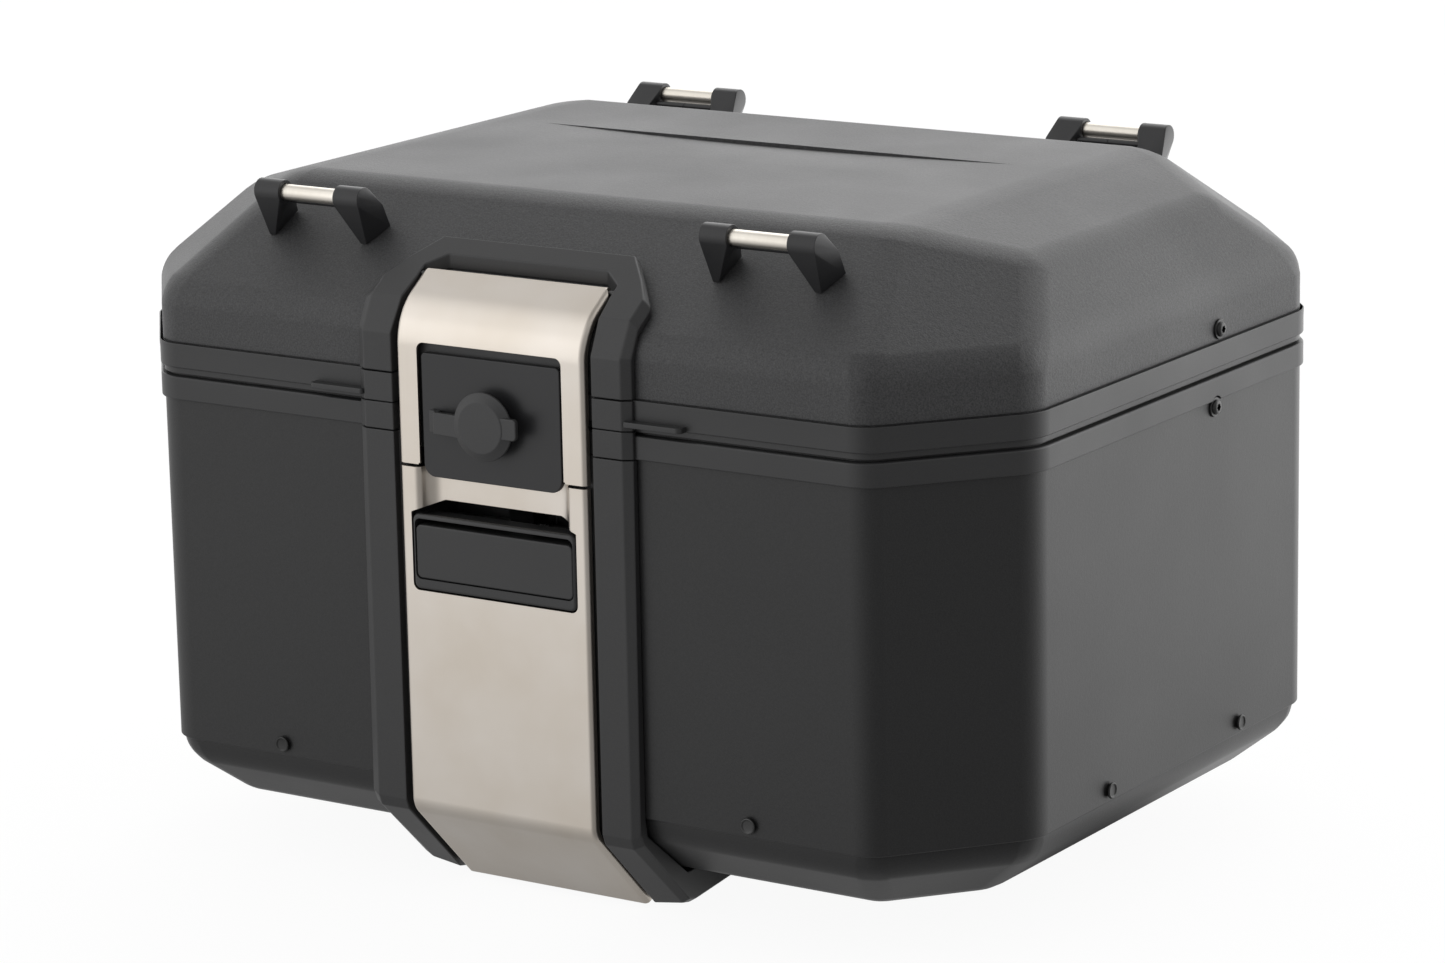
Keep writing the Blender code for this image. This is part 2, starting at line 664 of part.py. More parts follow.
def lid_surround():
    """Raised border round the flap: up the lid's wall, over its slope and across the top."""
    bend = CREASE_Z
    plan = [  # outer half width, outer y, inner half width, inner y (or wall height)
        (COLUMN_FOOT, None, COLUMN_INNER, None, LID_BAND[1] + GAP),
        (COLUMN_FOOT, None, COLUMN_INNER, None, bend - 6.0),
        (COLUMN_FOOT, -171.0, COLUMN_INNER - 0.8, -171.0, None),
        (COLUMN_FOOT, -161.0, 48.7, -161.0, None),
        (60.0, -151.0, 48.7, -155.5, None),
        (50.0, -140.5, 40.0, -149.7, None),
    ]
    rise = 5.7
    half = []
    for outer_x, outer_y, inner_x, inner_y, wall_z in plan:
        if wall_z is not None:
            section = [(outer_x, -173.8, wall_z), (outer_x, COLUMN_FACE + 2.5, wall_z),
                       (outer_x - 4, COLUMN_FACE, wall_z), (inner_x, COLUMN_FACE, wall_z),
                       (inner_x, -173.8, wall_z)]
        else:
            inward = 4.0 if outer_x > 55 else 3.2
            back = 0.0 if outer_x > 65 else -2.2
            section = [(outer_x, outer_y, slope_z(outer_y, GAP)),
                       (outer_x, outer_y, slope_z(outer_y, rise - 2.5)),
                       (outer_x - inward, outer_y + back, slope_z(outer_y + back, rise)),
                       (inner_x, inner_y, slope_z(inner_y, rise)),
                       (inner_x, inner_y, slope_z(inner_y, GAP))]
        half.append(section)
    mirrored = [[(-x, y, z) for x, y, z in section] for section in reversed(half)]
    surround = loft("lid_surround", "plastic_black", half + mirrored)
    y, z = FLAP_AXIS
    cut(surround, rod("cut_flap_pin", None, (-51, y, z), (51, y, z), 1.5, 16))


def lashing_eyes():
    """Four lashing eyes: a steel rod held by two wedge-shaped brackets each."""
    for x_sign, x_name in ((-1, "left"), (1, "right")):
        for y_sign, y_name in ((-1, "front"), (1, "rear")):
            centre = x_sign * EYE_X
            eye = f"{y_name}_{x_name}"
            y = y_sign * EYE_Y
            rod(f"lashing_rod_{eye}", "steel", (centre - 20, y, EYE_Z), (centre + 20, y, EYE_Z),
                ROD_RADIUS, 20)
            hole = rod(f"cut_lashing_rod_{eye}", None, (centre - 20.3, y, EYE_Z),
                       (centre + 20.3, y, EYE_Z), ROD_RADIUS + GAP, 20)
            for side, side_name in ((-1, "a"), (1, "b")):
                bracket = lashing_bracket(f"lashing_bracket_{eye}_{side_name}", centre, side, y_sign)
                cut(bracket, hole)


def lashing_bracket(name, centre, side, y_sign):
    """Hull of a round boss about the rod's end and a foot that spreads back up the slope."""
    bm = bmesh.new()
    points = []
    for step in range(12):
        angle = 2 * math.pi * step / 12
        for reach, radius in ((14.5, 4.6), (15.3, 5.4), (27.7, 5.4), (28.5, 4.6)):
            points.append((reach, -EYE_Y + radius * math.cos(angle),
                           EYE_Z + radius * math.sin(angle)))
    for reach, y in ((22.0, -147.0), (25.5, -147.0), (33.0, -131.5), (21.0, -129.5)):
        points.append((reach, y, slope_z(y, GAP)))
    for reach, y, z in points:
        bm.verts.new((centre + side * reach, -y_sign * y, z))
    bmesh.ops.convex_hull(bm, input=bm.verts)
    bmesh.ops.dissolve_limit(bm, angle_limit=math.radians(1), verts=bm.verts, edges=bm.edges)
    return place(bm, name, "plastic_black")


# ---------------------------------------------------------------- latch flap and lock

def flap_plate():
    """Bent metal flap plate with its hinge barrel and the opening round the lock plate."""
    y, z = FLAP_AXIS
    path = [(PLATE_FACE, PLATE_SPLIT), (PLATE_FACE, slope_z(PLATE_FACE, PLATE_RISE)),
            (FLAP_END_Y, slope_z(FLAP_END_Y, PLATE_RISE))]
    plate = prism("flap_plate", "champagne_metal", bent_sheet(path, SHEET, FLAP_BEND_RADIUS), "X",
                  -PLATE_HALF, PLATE_HALF, pivot=(0, y, z))
    barrel = rod("add_flap_barrel", None, (-PLATE_HALF + 2, y, z), (PLATE_HALF - 2, y, z), 2.4, 16)
    half, top = FLAP_CUT
    opening = box("cut_flap_opening", None, (-half, -190, 180), (half, -170, top))
    join(plate, barrel)
    cut(plate, opening)
    cut(plate, rod("cut_flap_barrel", None, (-60, y, z), (60, y, z), 1.2 + GAP, 16))
    rod("flap_pin", "steel", (-50.6, y, z), (50.6, y, z), 1.2, 16)


def lock_parts():
    """Lock plate, the lock body behind it, the hook, the key core and its cam."""
    half, low, high = LOCK_PLATE
    bore = rod("cut_core", None, (0, -190, LOCK_Z), (0, -150, LOCK_Z), CORE_RADIUS + GAP, 24)
    plate = box("lock_plate", "plastic_black", (-half, -179.2, low), (half, -176.7, high))
    cut(bevel(plate, 0.6, 2), bore)

    body = box("lock_body", "plastic_black", (-43, -176.4, 200), (43, -175.3, 246))
    join(body, rod("add_lock_barrel", None, (0, -176, LOCK_Z), (0, -160, LOCK_Z), 11.0, 24))
    cut(body, bore)

    hook = [(-175.0, 200.5), (-173.0, 200.5), (-173.0, 197.0), (-158.0, 197.0), (-158.0, 187.5),
            (-160.0, 187.5), (-162.0, 193.5), (-175.0, 193.5)]
    prism("latch_hook", "steel", hook, "X", -7, 7)

    core = rod("key_core", "steel", (0, -179.6, LOCK_Z), (0, -160.5, LOCK_Z), CORE_RADIUS, 24,
               pivot=(0, -179.6, LOCK_Z))
    cut(core, box("cut_keyway", None, (-4.5, -185, LOCK_Z - 0.7), (4.5, -166, LOCK_Z + 0.7)))
    bevel(box("lock_cam", "steel", (-3, -159.7, LOCK_Z - 13), (3, -157.7, LOCK_Z + 5),
              pivot=(0, -179.6, LOCK_Z)), 0.5)


def key_cap():
    """Rubber cap over the keyway, swinging on a strap at its left."""
    x, y = CAP_HINGE
    profile = [(0, 8.6), (CAP_FACE_RADIUS - 1, 8.6), (CAP_FACE_RADIUS, 8.0), (CAP_RADIUS, 1.8),
               (CAP_RADIUS, 0.7), (0, 0.7)]
    bm = bmesh.new()
    segments = 28
    rings = []
    for radius, height in profile[1:-1]:
        points = []
        for step in range(segments):
            angle = 2 * math.pi * step / segments
            points.append((radius * math.cos(angle), -179.2 - height,
                           LOCK_Z + radius * math.sin(angle)))
        rings.append([bm.verts.new(point) for point in points])
    for here, there in zip(rings, rings[1:]):
        for index in range(segments):
            after = (index + 1) % segments
            bm.faces.new((here[index], here[after], there[after], there[index]))
    bm.faces.new(rings[0])
    bm.faces.new(rings[-1])
    cap = place(bm, "key_cap", "rubber_black", pivot=(x, y, LOCK_Z))
    strap = box("add_cap_strap", None, (x, y - 1.4, LOCK_Z - 4.8), (-8, y + 1.4, LOCK_Z + 4.8))
    tab = box("add_cap_tab", None, (6, -187.3, LOCK_Z - 4.4), (17.8, -184.9, LOCK_Z + 4.4))
    join(cap, strap, tab)


# ---------------------------------------------------------------- assembly

def build():
    """Make every piece."""
    window, rivets, screws = hole_cutters()
    notch = box("cut_lock_notch", None, (-LOCK_NOTCH, -186, 200), (LOCK_NOTCH, -160, 233))
    body_wall(window, rivets, screws["body"])
    bottom_pan(rivets)
    body_frame(window, screws["body"])
    body_surround(window)
    lower_latch_plate()
    latch_tray(window)
    button_parts()
    rivets_and_screws()
    check_straps()
    underside()
    hinges()
    lid_shell(notch, screws["lid"])
    lid_frame(notch, screws["lid"])
    lid_seal(notch)
    lid_surround()
    lashing_eyes()
    flap_plate()
    lock_parts()
    key_cap()


clear_scene()
MATERIALS = make_materials()
PARTS = new_collection(COLLECTION)
CUTTERS = new_collection("cutters")
build()
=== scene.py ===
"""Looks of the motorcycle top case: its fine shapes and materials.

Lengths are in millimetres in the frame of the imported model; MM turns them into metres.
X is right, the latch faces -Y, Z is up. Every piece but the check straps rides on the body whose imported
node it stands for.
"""
from math import cos, hypot, pi, radians, sin, tan

import bmesh
import bpy
from mathutils import Matrix, Vector

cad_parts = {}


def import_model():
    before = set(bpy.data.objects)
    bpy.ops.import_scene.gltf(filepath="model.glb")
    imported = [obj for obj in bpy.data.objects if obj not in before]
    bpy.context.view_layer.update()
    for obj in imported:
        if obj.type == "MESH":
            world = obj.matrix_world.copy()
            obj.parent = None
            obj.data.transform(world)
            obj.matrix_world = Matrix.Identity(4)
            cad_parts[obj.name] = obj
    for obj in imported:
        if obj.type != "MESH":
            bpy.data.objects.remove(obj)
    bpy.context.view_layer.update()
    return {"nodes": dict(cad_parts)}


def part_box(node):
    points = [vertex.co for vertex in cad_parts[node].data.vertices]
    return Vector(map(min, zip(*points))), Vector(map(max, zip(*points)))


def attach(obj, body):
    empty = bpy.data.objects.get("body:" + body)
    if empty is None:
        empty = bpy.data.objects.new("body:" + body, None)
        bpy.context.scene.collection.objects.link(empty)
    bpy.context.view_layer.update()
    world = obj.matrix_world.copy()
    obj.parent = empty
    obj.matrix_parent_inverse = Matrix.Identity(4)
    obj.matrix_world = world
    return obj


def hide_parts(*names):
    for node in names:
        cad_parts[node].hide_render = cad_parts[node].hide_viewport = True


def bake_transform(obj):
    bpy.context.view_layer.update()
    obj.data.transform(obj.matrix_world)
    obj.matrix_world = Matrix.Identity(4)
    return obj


MM = 0.001
GAP = 0.3  # between neighbouring pieces
SIDES = ((-1, "left"), (1, "right"))
PARTS = (("body", "case"), ("lid", "lid"))  # start of a piece's name, and its body
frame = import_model()


def extent(node):
    """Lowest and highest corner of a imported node, in millimetres."""
    low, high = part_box(node)
    return low / MM, high / MM


# Heights and insets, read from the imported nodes
BODY_RIM = extent("body_frame")
WALL = extent("body_wall")
LID = extent("lid_shell")
PAN = extent("bottom_pan")
HALF_WIDTH = BODY_RIM[1].x
HALF_DEPTH = BODY_RIM[1].y
WALL_SIDE = WALL[1].x
WALL_FRONT = WALL[0].y
WALL_INSET = HALF_WIDTH - WALL_SIDE
LID_TOP = LID[1].z

# Plan outline: a rectangle with chamfered, rounded corners
CHAMFER_X = 46.9
CHAMFER_Y = 57.2
CORNER_REACH = 8.0
CORNER_STEPS = 10

# Heights of the bands and creases
BODY_BAND = (205.8, 216.0)
LID_BAND = (219.8, 230.6)
PARTING = 217.75
CREASE_Z = 253.7
SIDE_CREASE_Z = 284.6
PAN_FOLD_Z = 45.0

# Shell thicknesses and insets
WALL_THICKNESS = 1.5
LID_THICKNESS = 2.0
PAN_INSET = WALL_INSET + WALL_THICKNESS + GAP
PAN_THICKNESS = 2.5
PAN_FOOT_INSET = 32.0

# Lid facets
TOP_HALF = (151.7, 109.3)
SIDE_CREASE = (200.6, 77.0)
SLOPE = (LID_TOP - CREASE_Z) / (-WALL_FRONT - TOP_HALF[1])
DISH_EDGE_Y = 39.5  # rear edge of the shallow dish on top
DISH_HALF = 126.0
DISH_LENGTH = 55.0
DISH_DEPTH = 1.7

# Latch column
COLUMN_FOOT = 69.0
COLUMN_FRONT = 65.0
COLUMN_INNER = 50.5
COLUMN_FACE = -179.0
COLUMN_BACK = -173.8  # where its mouldings rest on the walls
COLUMN_WEB = 1.6  # thickness of the web between the column's legs
SHOULDER = 2.5  # how far the column's outer edges slope back
WINDOW = (44.0, 133.0)
LOCK_NOTCH = 18.5
CUT_FRONT = -190.0  # cutters through the front start here, clear of everything

# Metal plates, lock and button
PLATE_HALF = 47.5
PLATE_FACE = -180.0
PLATE_ROLL = 2.6  # radius of the plates' rolled side edges
SHEET = 1.2
PLATE_SPLIT = (191.7, 193.1)  # top of the lower plate and bottom of the flap
PLATE_RISE = 6.3  # height of the plate over the lid's slope
PLATE_MARGIN = 0.1  # trimming outlines stand this far clear of a plate's sides
PLATE_BEND_Z = 42.5
FLAP_BEND_RADIUS = 26.0
FLAP_END_Y = -158.2
FLAP_AXIS = (-157.5, 269.5)
FLAP_OPENING = (36.5, 245.4)
SCOOP_EDGE = 40.3  # half width where the plate starts to roll into the scoop
SCOOP_ROUND = 3.5  # radius of that outer edge
SCOOP_FILLET = 8.0  # radius of the hollow that follows it
SCOOP_TURN = 70.0  # how far both of them turn, in degrees
SCOOP_FLOOR = 177.2
BEZEL_MARGIN = 0.55  # the lower plate's opening round the button's frame
BUTTON_GAP = 2.7  # shadow gap over the release button
LOCK_Z = 213.0
CAP_Z = 214.0
CAP_NECK_RADIUS = 11.0
CAP_RADIUS = 14.6
CAP_FACE_RADIUS = 11.4
CAP_RIM = -185.3
CAP_FACE = -187.5

# Lashing eyes
EYE_X = 114.0
EYE_Y = 146.5
EYE_Z = 295.7
ROD_RADIUS = 3.4
ROD_HALF = 20.0
BOSS_RADIUS = 5.2
LINK_BACK = 5.0  # from the rod to the dark link, towards the lid's middle
LINK_DROP = 4.0
LINK_REACH = 18.0
LINK_RADIUS = 1.6

# Fasteners and rear hinges
SOCKET_RADIUS = 1.5
WASHER_POCKET = 5.0
HINGE_X = 110.0
HINGE_FACE = (175.3, 177.5)  # back and front of the hinge leaves
KNUCKLE_HALF = 10.0
KNUCKLE_RADIUS = 4.3
HINGE_RIVET = 15.0  # from the hinge's middle to each rivet head

# Check straps
STRAP_X = 214.6
STRAP_WIDTH = 20.0
STRAP_THICKNESS = 1.4
STRAP_ROWS = 90
STRAP_COLUMNS = 8

# Noise in tones and gloss
NOISE_RANGE = (0.3, 0.7)  # the part of its values that is spread out
PATCH_SIZE = 60.0

# Studio brightness, where 1 is white
FLOOR_LIGHT = (0.55, 1.1)  # far below and at the horizon
CEILING_LIGHT = 0.3
BRIGHT_WALL = 2.1
DARK_WALL = 0.6
FRONT_GLOW = 0.4
GLOW_TOWARDS = (-0.55, -0.42, 0.722)
FLOOR_SIZE = 6000.0
FLOOR_WHITE = 0.9  # share of plain white in the floor that the camera sees
FLOOR_GLOW = 1.04
SHADE_REACH = (0.30, 0.155)  # half axes, in metres, of the painted shade that dims the floor's glow under the case
SHADE_UNDER = 0.12  # brightness in the middle of it
SHADE_BESIDE = 0.68  # and just outside it
SHADE_END = 5.5  # fully bright at this many times that reach


# ---- mesh helpers

def place(name, data):
    """Put an object with this data into the scene."""
    obj = bpy.data.objects.new(name, data)
    bpy.context.scene.collection.objects.link(obj)
    return obj


def raw(name, bm):
    """Turn a bmesh in millimetres into an object in metres."""
    bmesh.ops.recalc_face_normals(bm, faces=bm.faces)
    bmesh.ops.scale(bm, verts=bm.verts, vec=(MM, MM, MM))
    mesh = bpy.data.meshes.new(name)
    bm.to_mesh(mesh)
    bm.free()
    return place(name, mesh)


def bake(obj):
    """Apply every modifier."""
    graph = bpy.context.evaluated_depsgraph_get()
    mesh = bpy.data.meshes.new_from_object(obj.evaluated_get(graph))
    obj.modifiers.clear()
    obj.data = mesh
    return obj


def combine(obj, operation, *others):
    """Cut obj with others or join them to it, and remove the others."""
    for other in others:
        modifier = obj.modifiers.new(other.name, "BOOLEAN")
        modifier.operation = operation
        modifier.solver = "EXACT"
        modifier.object = other
    bake(obj)
    if not obj.data.polygons:
        raise RuntimeError(f"{obj.name} is empty after a {operation}")
    for other in others:
        bpy.data.objects.remove(other, do_unlink=True)
    return obj


def cut(obj, *cutters):
    """Cut obj with each cutter."""
    return combine(obj, "DIFFERENCE", *cutters)


def join(obj, *additions):
    """Join each addition to obj."""
    return combine(obj, "UNION", *additions)


def bevel(obj, width, segments=3, angle=30.0):
    """Round the edges that are sharper than angle."""
    modifier = obj.modifiers.new("round", "BEVEL")
    modifier.width = width * MM
    modifier.segments = segments
    modifier.limit_method = "ANGLE"
    modifier.angle_limit = radians(angle)
    modifier.miter_outer = "MITER_ARC"
    return bake(obj)


def thicken(obj, thickness, offset=-1):
    """Give an open skin its thickness: inwards, or to both sides when offset is 0."""
    modifier = obj.modifiers.new("shell", "SOLIDIFY")
    modifier.thickness = thickness * MM
    modifier.offset = offset
    modifier.use_even_offset = True
    return bake(obj)


def dress(obj, look):
    """Give obj the material of its look; the slot beside it is not used here."""
    slot, material = LOOKS[look]
    obj.data.materials.clear()
    obj.data.materials.append(material)


def settle(obj, body, look, node, smooth=32.0):
    """Finish a piece: shading with crisp edges, its material, its body and the node it replaces."""
    obj.data.shade_smooth()
    obj.data.set_sharp_from_angle(angle=radians(smooth))
    obj.modifiers.new("flat faces", "WEIGHTED_NORMAL").keep_sharp = True
    bake(obj)
    dress(obj, look)
    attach(obj, body)
    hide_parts(node)


def rounded(corners, radius, steps=5):
    """Closed flat outline with arcs for corners; radius is one value or one for each corner."""
    points = []
    count = len(corners)
    for index, corner in enumerate(corners):
        corner = Vector(corner)
        wanted = radius[index] if isinstance(radius, list) else radius
        back = Vector(corners[index - 1]) - corner
        ahead = Vector(corners[(index + 1) % count]) - corner
        half_angle = back.angle(ahead) / 2
        trim = min(wanted / tan(half_angle), 0.48 * back.length, 0.48 * ahead.length)
        if trim < 0.01:
            points.append(corner)
            continue
        back.normalize()
        ahead.normalize()
        centre = corner + (back + ahead).normalized() * trim / cos(half_angle)
        first = corner + back * trim - centre
        last = corner + ahead * trim - centre
        for step in range(steps + 1):
            points.append(centre + first.lerp(last, step / steps).normalized() * first.length)
    return points


def rectangle(left, bottom, right, top):
    """Corners of a rectangle, anticlockwise from the lower left."""
    return [(left, bottom), (right, bottom), (right, top), (left, top)]


def front_outline(node, radius):
    """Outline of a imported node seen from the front, with rounded corners."""
    low, high = extent(node)
    return rounded(rectangle(low.x, low.z, high.x, high.z), radius, 8)


def slab(name, outline, axis, low, high):
    """Extrude a flat outline along X, Y or Z; its points hold the two other coordinates."""
    slot = "XYZ".index(axis)
    ends = [[(*point[:slot], level, *point[slot:]) for point in outline] for level in (low, high)]
    return loft(name, ends)


def box(name, low, high):
    """Box between two corners."""
    bm = bmesh.new()
    bmesh.ops.create_cube(bm, size=1.0)
    low, high = Vector(low), Vector(high)
    bmesh.ops.scale(bm, verts=bm.verts, vec=high - low)
    bmesh.ops.translate(bm, verts=bm.verts, vec=(high + low) / 2)
    return raw(name, bm)


def stand(bm, centre, direction):
    """Turn a shape from Z to a direction and move it to its centre."""
    turn = Vector((0, 0, 1)).rotation_difference(Vector(direction)).to_matrix().to_4x4()
    bmesh.ops.transform(bm, verts=bm.verts, matrix=Matrix.Translation(Vector(centre)) @ turn)


def rod(name, start, end, radius, segments=32):
    """Solid cylinder between two points."""
    start, end = Vector(start), Vector(end)
    along = end - start
    bm = bmesh.new()
    bmesh.ops.create_cone(bm, cap_ends=True, segments=segments, radius1=radius, radius2=radius,
                          depth=along.length)
    stand(bm, (start + end) / 2, along)
    return raw(name, bm)


def turned(name, profile, centre, direction, segments=40):
    """Turn a profile of (radius, height) points that starts and ends on the axis."""
    bm = bmesh.new()
    rings = []
    for radius, height in profile:
        ring = []
        for step in range(segments if radius else 1):
            angle = 2 * pi * step / segments
            ring.append(bm.verts.new((radius * cos(angle), radius * sin(angle), height)))
        rings.append(ring)
    for here, there in zip(rings, rings[1:]):
        for index in range(segments):
            near, far = index, (index + 1) % segments
            corners = [here[near % len(here)], here[far % len(here)],
                       there[far % len(there)], there[near % len(there)]]
            bm.faces.new(dict.fromkeys(corners))
    stand(bm, centre, direction)
    return raw(name, bm)


def loft(name, stations, looped=False):
    """Skin through like sections, capped at its two ends unless they form a loop."""
    bm = bmesh.new()
    rings = [[bm.verts.new(point) for point in station] for station in stations]
    pairs = list(zip(rings, rings[1:]))
    if looped:
        pairs.append((rings[-1], rings[0]))
    else:
        bm.faces.new(rings[0])
        bm.faces.new(rings[-1])
    for here, there in pairs:
        for index in range(len(here)):
            after = (index + 1) % len(here)
            bm.faces.new((here[index], here[after], there[after], there[index]))
    return raw(name, bm)


def sheet(name, rows):
    """Open skin through rows of points of equal length."""
    bm = bmesh.new()
    grid = [[bm.verts.new(point) for point in row] for row in rows]
    for here, there in zip(grid, grid[1:]):
        for index in range(len(here) - 1):
            bm.faces.new((here[index], here[index + 1], there[index + 1], there[index]))
    return raw(name, bm)


# ---- plan outline and slope

def octagon(inset):
    """Corners of the plan outline moved in by inset, anticlockwise from the front right."""
    half_width = HALF_WIDTH - inset
    half_depth = HALF_DEPTH - inset
    reach = CHAMFER_Y * HALF_WIDTH + CHAMFER_X * (HALF_DEPTH - CHAMFER_Y)
    reach -= inset * hypot(CHAMFER_X, CHAMFER_Y)
    x = (reach - CHAMFER_X * half_depth) / CHAMFER_Y
    y = (reach - CHAMFER_Y * half_width) / CHAMFER_X
    right = [(x, -half_depth), (half_width, -y), (half_width, y), (x, half_depth)]
    return right + [(-across, -along) for across, along in right]


def rounded_octagon(inset):
    """The same outline with its corners rounded about centres that all insets share."""
    corners = [Vector(corner) for corner in octagon(inset)]
    points = []
    for index, corner in enumerate(corners):
        back = (corners[index - 1] - corner).normalized()
        ahead = (corners[(index + 1) % len(corners)] - corner).normalized()
        half_turn = (pi - back.angle(ahead)) / 2
        radius = CORNER_REACH / tan(half_turn) + WALL_INSET - inset
        centre = corner + (back + ahead).normalized() * radius / cos(half_turn)
        first = corner + back * radius * tan(half_turn) - centre
        for step in range(CORNER_STEPS + 1):
            turn = Matrix.Rotation(2 * half_turn * step / CORNER_STEPS, 2)
            points.append(centre + turn @ first)
    return points


def ring(name, section):
    """Sweep a closed section of (inset, z) points round the plan outline."""
    plans = [rounded_octagon(inset) for inset, _ in section]
    stations = []
    for corner in range(len(plans[0])):
        stations.append([(*plan[corner], z) for plan, (_, z) in zip(plans, section)])
    return loft(name, stations, looped=True)


def slope_z(y, rise=0.0):
    """Height of the lid's front slope at y, raised by rise along the slope's normal."""
    return LID_TOP + SLOPE * (y + TOP_HALF[1]) + rise * hypot(1, SLOPE)


def window_cutter():
    """The opening behind the latch."""
    half, sill = WINDOW
    return box("cut_window", (-half, -186, sill), (half, -140, 226))


def notch_cutter():
    """The lid's opening for the lock cylinder."""
    return box("cut_notch", (-LOCK_NOTCH, -186, 200), (LOCK_NOTCH, -160, 233))


def centre_of(node):
    """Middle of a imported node, in millimetres."""
    low, high = extent(node)
    return (low + high) / 2


# ---- case body

def body_wall():
    """Folded sheet wall with a rolled lower edge."""
    inner = WALL_INSET + WALL_THICKNESS
    low, high = WALL[0].z, WALL[1].z
    section = rounded([(WALL_INSET, low), (WALL_INSET, high), (inner, high), (inner, low)],
                      [0.7, 0.1, 0.1, 0.3], 4)
    wall = ring("body_wall_skin", section)
    cut(wall, window_cutter())
    settle(wall, "case", "powder", "body_wall")


def bottom_pan():
    """Tray that closes the bottom, tucked inside the wall's lower edge."""
    levels = [(PAN_INSET, PAN[1].z), (PAN_INSET, PAN_FOLD_Z), (PAN_FOOT_INSET, PAN[0].z)]
    bm = bmesh.new()
    rings = [[bm.verts.new((*corner, z)) for corner in octagon(inset)] for inset, z in levels]
    for upper, lower in zip(rings, rings[1:]):
        for index in range(8):
            after = (index + 1) % 8
            bm.faces.new((upper[index], lower[index], lower[after], upper[after]))
    bm.faces.new(reversed(rings[-1]))
    pan = bevel(raw("bottom_pan_skin", bm), CORNER_REACH - 0.75, 8, 15)
    thicken(pan, PAN_THICKNESS)
    settle(pan, "case", "powder", "bottom_pan")


def column_pads(low, high):
    """Two short blocks that carry a rim band out over the latch column's legs."""
    back = COLUMN_BACK - 0.4
    outline = [(COLUMN_INNER, back), (COLUMN_INNER, COLUMN_FACE), (COLUMN_FRONT, COLUMN_FACE),
               (COLUMN_FOOT, COLUMN_FACE + SHOULDER), (COLUMN_FOOT, back)]
    pads = []
    for sign in (-1, 1):
        pad = slab("pad", [(sign * x, y) for x, y in outline], "Z", low, high)
        pads.append(bevel(pad, 0.5, 3, 20))
    return pads


def body_frame():
    """Rim channel over the wall's top edge, with the inner sealing lip."""
    low, high = BODY_BAND
    lip = BODY_RIM[1].z
    groove = WALL[1].z + GAP
    foot = BODY_RIM[0].z
    corners = [(0.0, low), (WALL_INSET - GAP, low), (WALL_INSET - GAP, groove), (PAN_INSET, groove),
               (PAN_INSET, foot), (5.3, foot), (5.3, lip), (3.6, lip), (3.6, high), (0.0, high)]
    radii = [0.6, 0.1, 0.1, 0.1, 0.3, 0.3, 0.6, 0.6, 0.2, 0.9]
    rim = ring("body_frame_fine", rounded(corners, radii, 4))
    join(rim, *column_pads(low + 0.2, PARTING - GAP / 2))
    cut(rim, window_cutter(), *screw_pockets())
    settle(rim, "case", "plastic", "body_frame")


def screw_pockets():
    """Round notches in the body's band for the screws' washers."""
    cutters = []
    for sign, side in SIDES:
        middle = centre_of(f"body_strap_screw_{side}")
        start, end = [(sign * x, middle.y, middle.z) for x in (WALL_SIDE - 0.4, 230)]
        cutters.append(rod(f"cut_washer_{side}", start, end, WASHER_POCKET))
    return cutters


def lid_frame():
    """Rim channel round the lid's lower edge, with two pads and two lifting tabs."""
    low, high = LID_BAND
    groove = low + 3.4
    lip = PARTING - 0.8
    seal_top = 236.0
    shade = WALL_INSET - 1.0
    corners = [(0.0, low), (1.6, low), (1.6, lip), (3.3, lip), (3.3, low + 2.2), (7.5, low + 2.2),
               (7.5, groove + 0.4), (5.8, groove + 0.4), (5.8, seal_top), (3.8, seal_top), (3.8, groove),
               (WALL_INSET - GAP, groove), (WALL_INSET - GAP, high - 3.6), (shade, high - 3.0),
               (shade, high), (-0.1, high), (-0.1, high - 2.0), (0.0, high - 3.0)]
    radii = [0.7, 0.2, 0.4, 0.2, 0.1, 0.1, 0.2, 0.2, 0.4, 0.4, 0.1, 0.1, 0.1, 0.1, 0.2, 0.35, 0.1, 0.1]
    rim = ring("lid_frame_fine", rounded(corners, radii, 4))
    tabs = []
    for sign in (-1, 1):
        outline = [(sign * x, y) for x, y in ((66, -174.0), (66, -179.8), (94, -179.8), (94, -174.0))]
        tab = slab("tab", rounded(outline, [0, 1.2, 2.5, 0], 5), "Z", low + 0.1, low + 2.5)
        tabs.append(bevel(tab, 0.4, 3))
    join(rim, *column_pads(PARTING + GAP / 2, high - 0.2), *tabs)
    cut(rim, notch_cutter())
    settle(rim, "lid", "plastic", "lid_frame")


def body_surround():
    """Channel down the front: two raised legs joined by a thin web, running under the pan."""
    path = [  # (y, z) of the channel's back and of its face, depth of its web, drop of its inner edge
        ((COLUMN_BACK, 205.6), (COLUMN_FACE, 205.6), None, 0.0),
        ((COLUMN_BACK, 53.0), (COLUMN_FACE, 44.5), None, 0.0),
        ((-172.3, 45.0), (-177.3, 40.0), None, 0.0),
        ((-143.3, 21.6), (-142.0, 6.8), 1.3, 2.2),
        ((-138.0, 21.6), (-137.0, 5.8), 1.3, 2.2),
        ((-105.0, 21.6), (-105.0, 9.0), 1.3, 0.0),
    ]
    stations = []
    for base, face, depth, drop in path:
        base, face = Vector(base), Vector(face)
        inward = (base - face).normalized()
        if depth is None:
            depth = (base - face).length - COLUMN_WEB
        right = [(COLUMN_FOOT, base), (COLUMN_FOOT, face + inward * SHOULDER), (COLUMN_FRONT, face),
                 (COLUMN_INNER, face - inward * drop), (COLUMN_INNER, face + inward * depth)]
        left = [(-x, at) for x, at in reversed(right)]
        stations.append([(x, *at) for x, at in right + left])
    surround = bevel(loft("body_surround_fine", stations), 0.55, 3, 12)
    cut(surround, window_cutter())
    settle(surround, "case", "plastic", "body_surround")


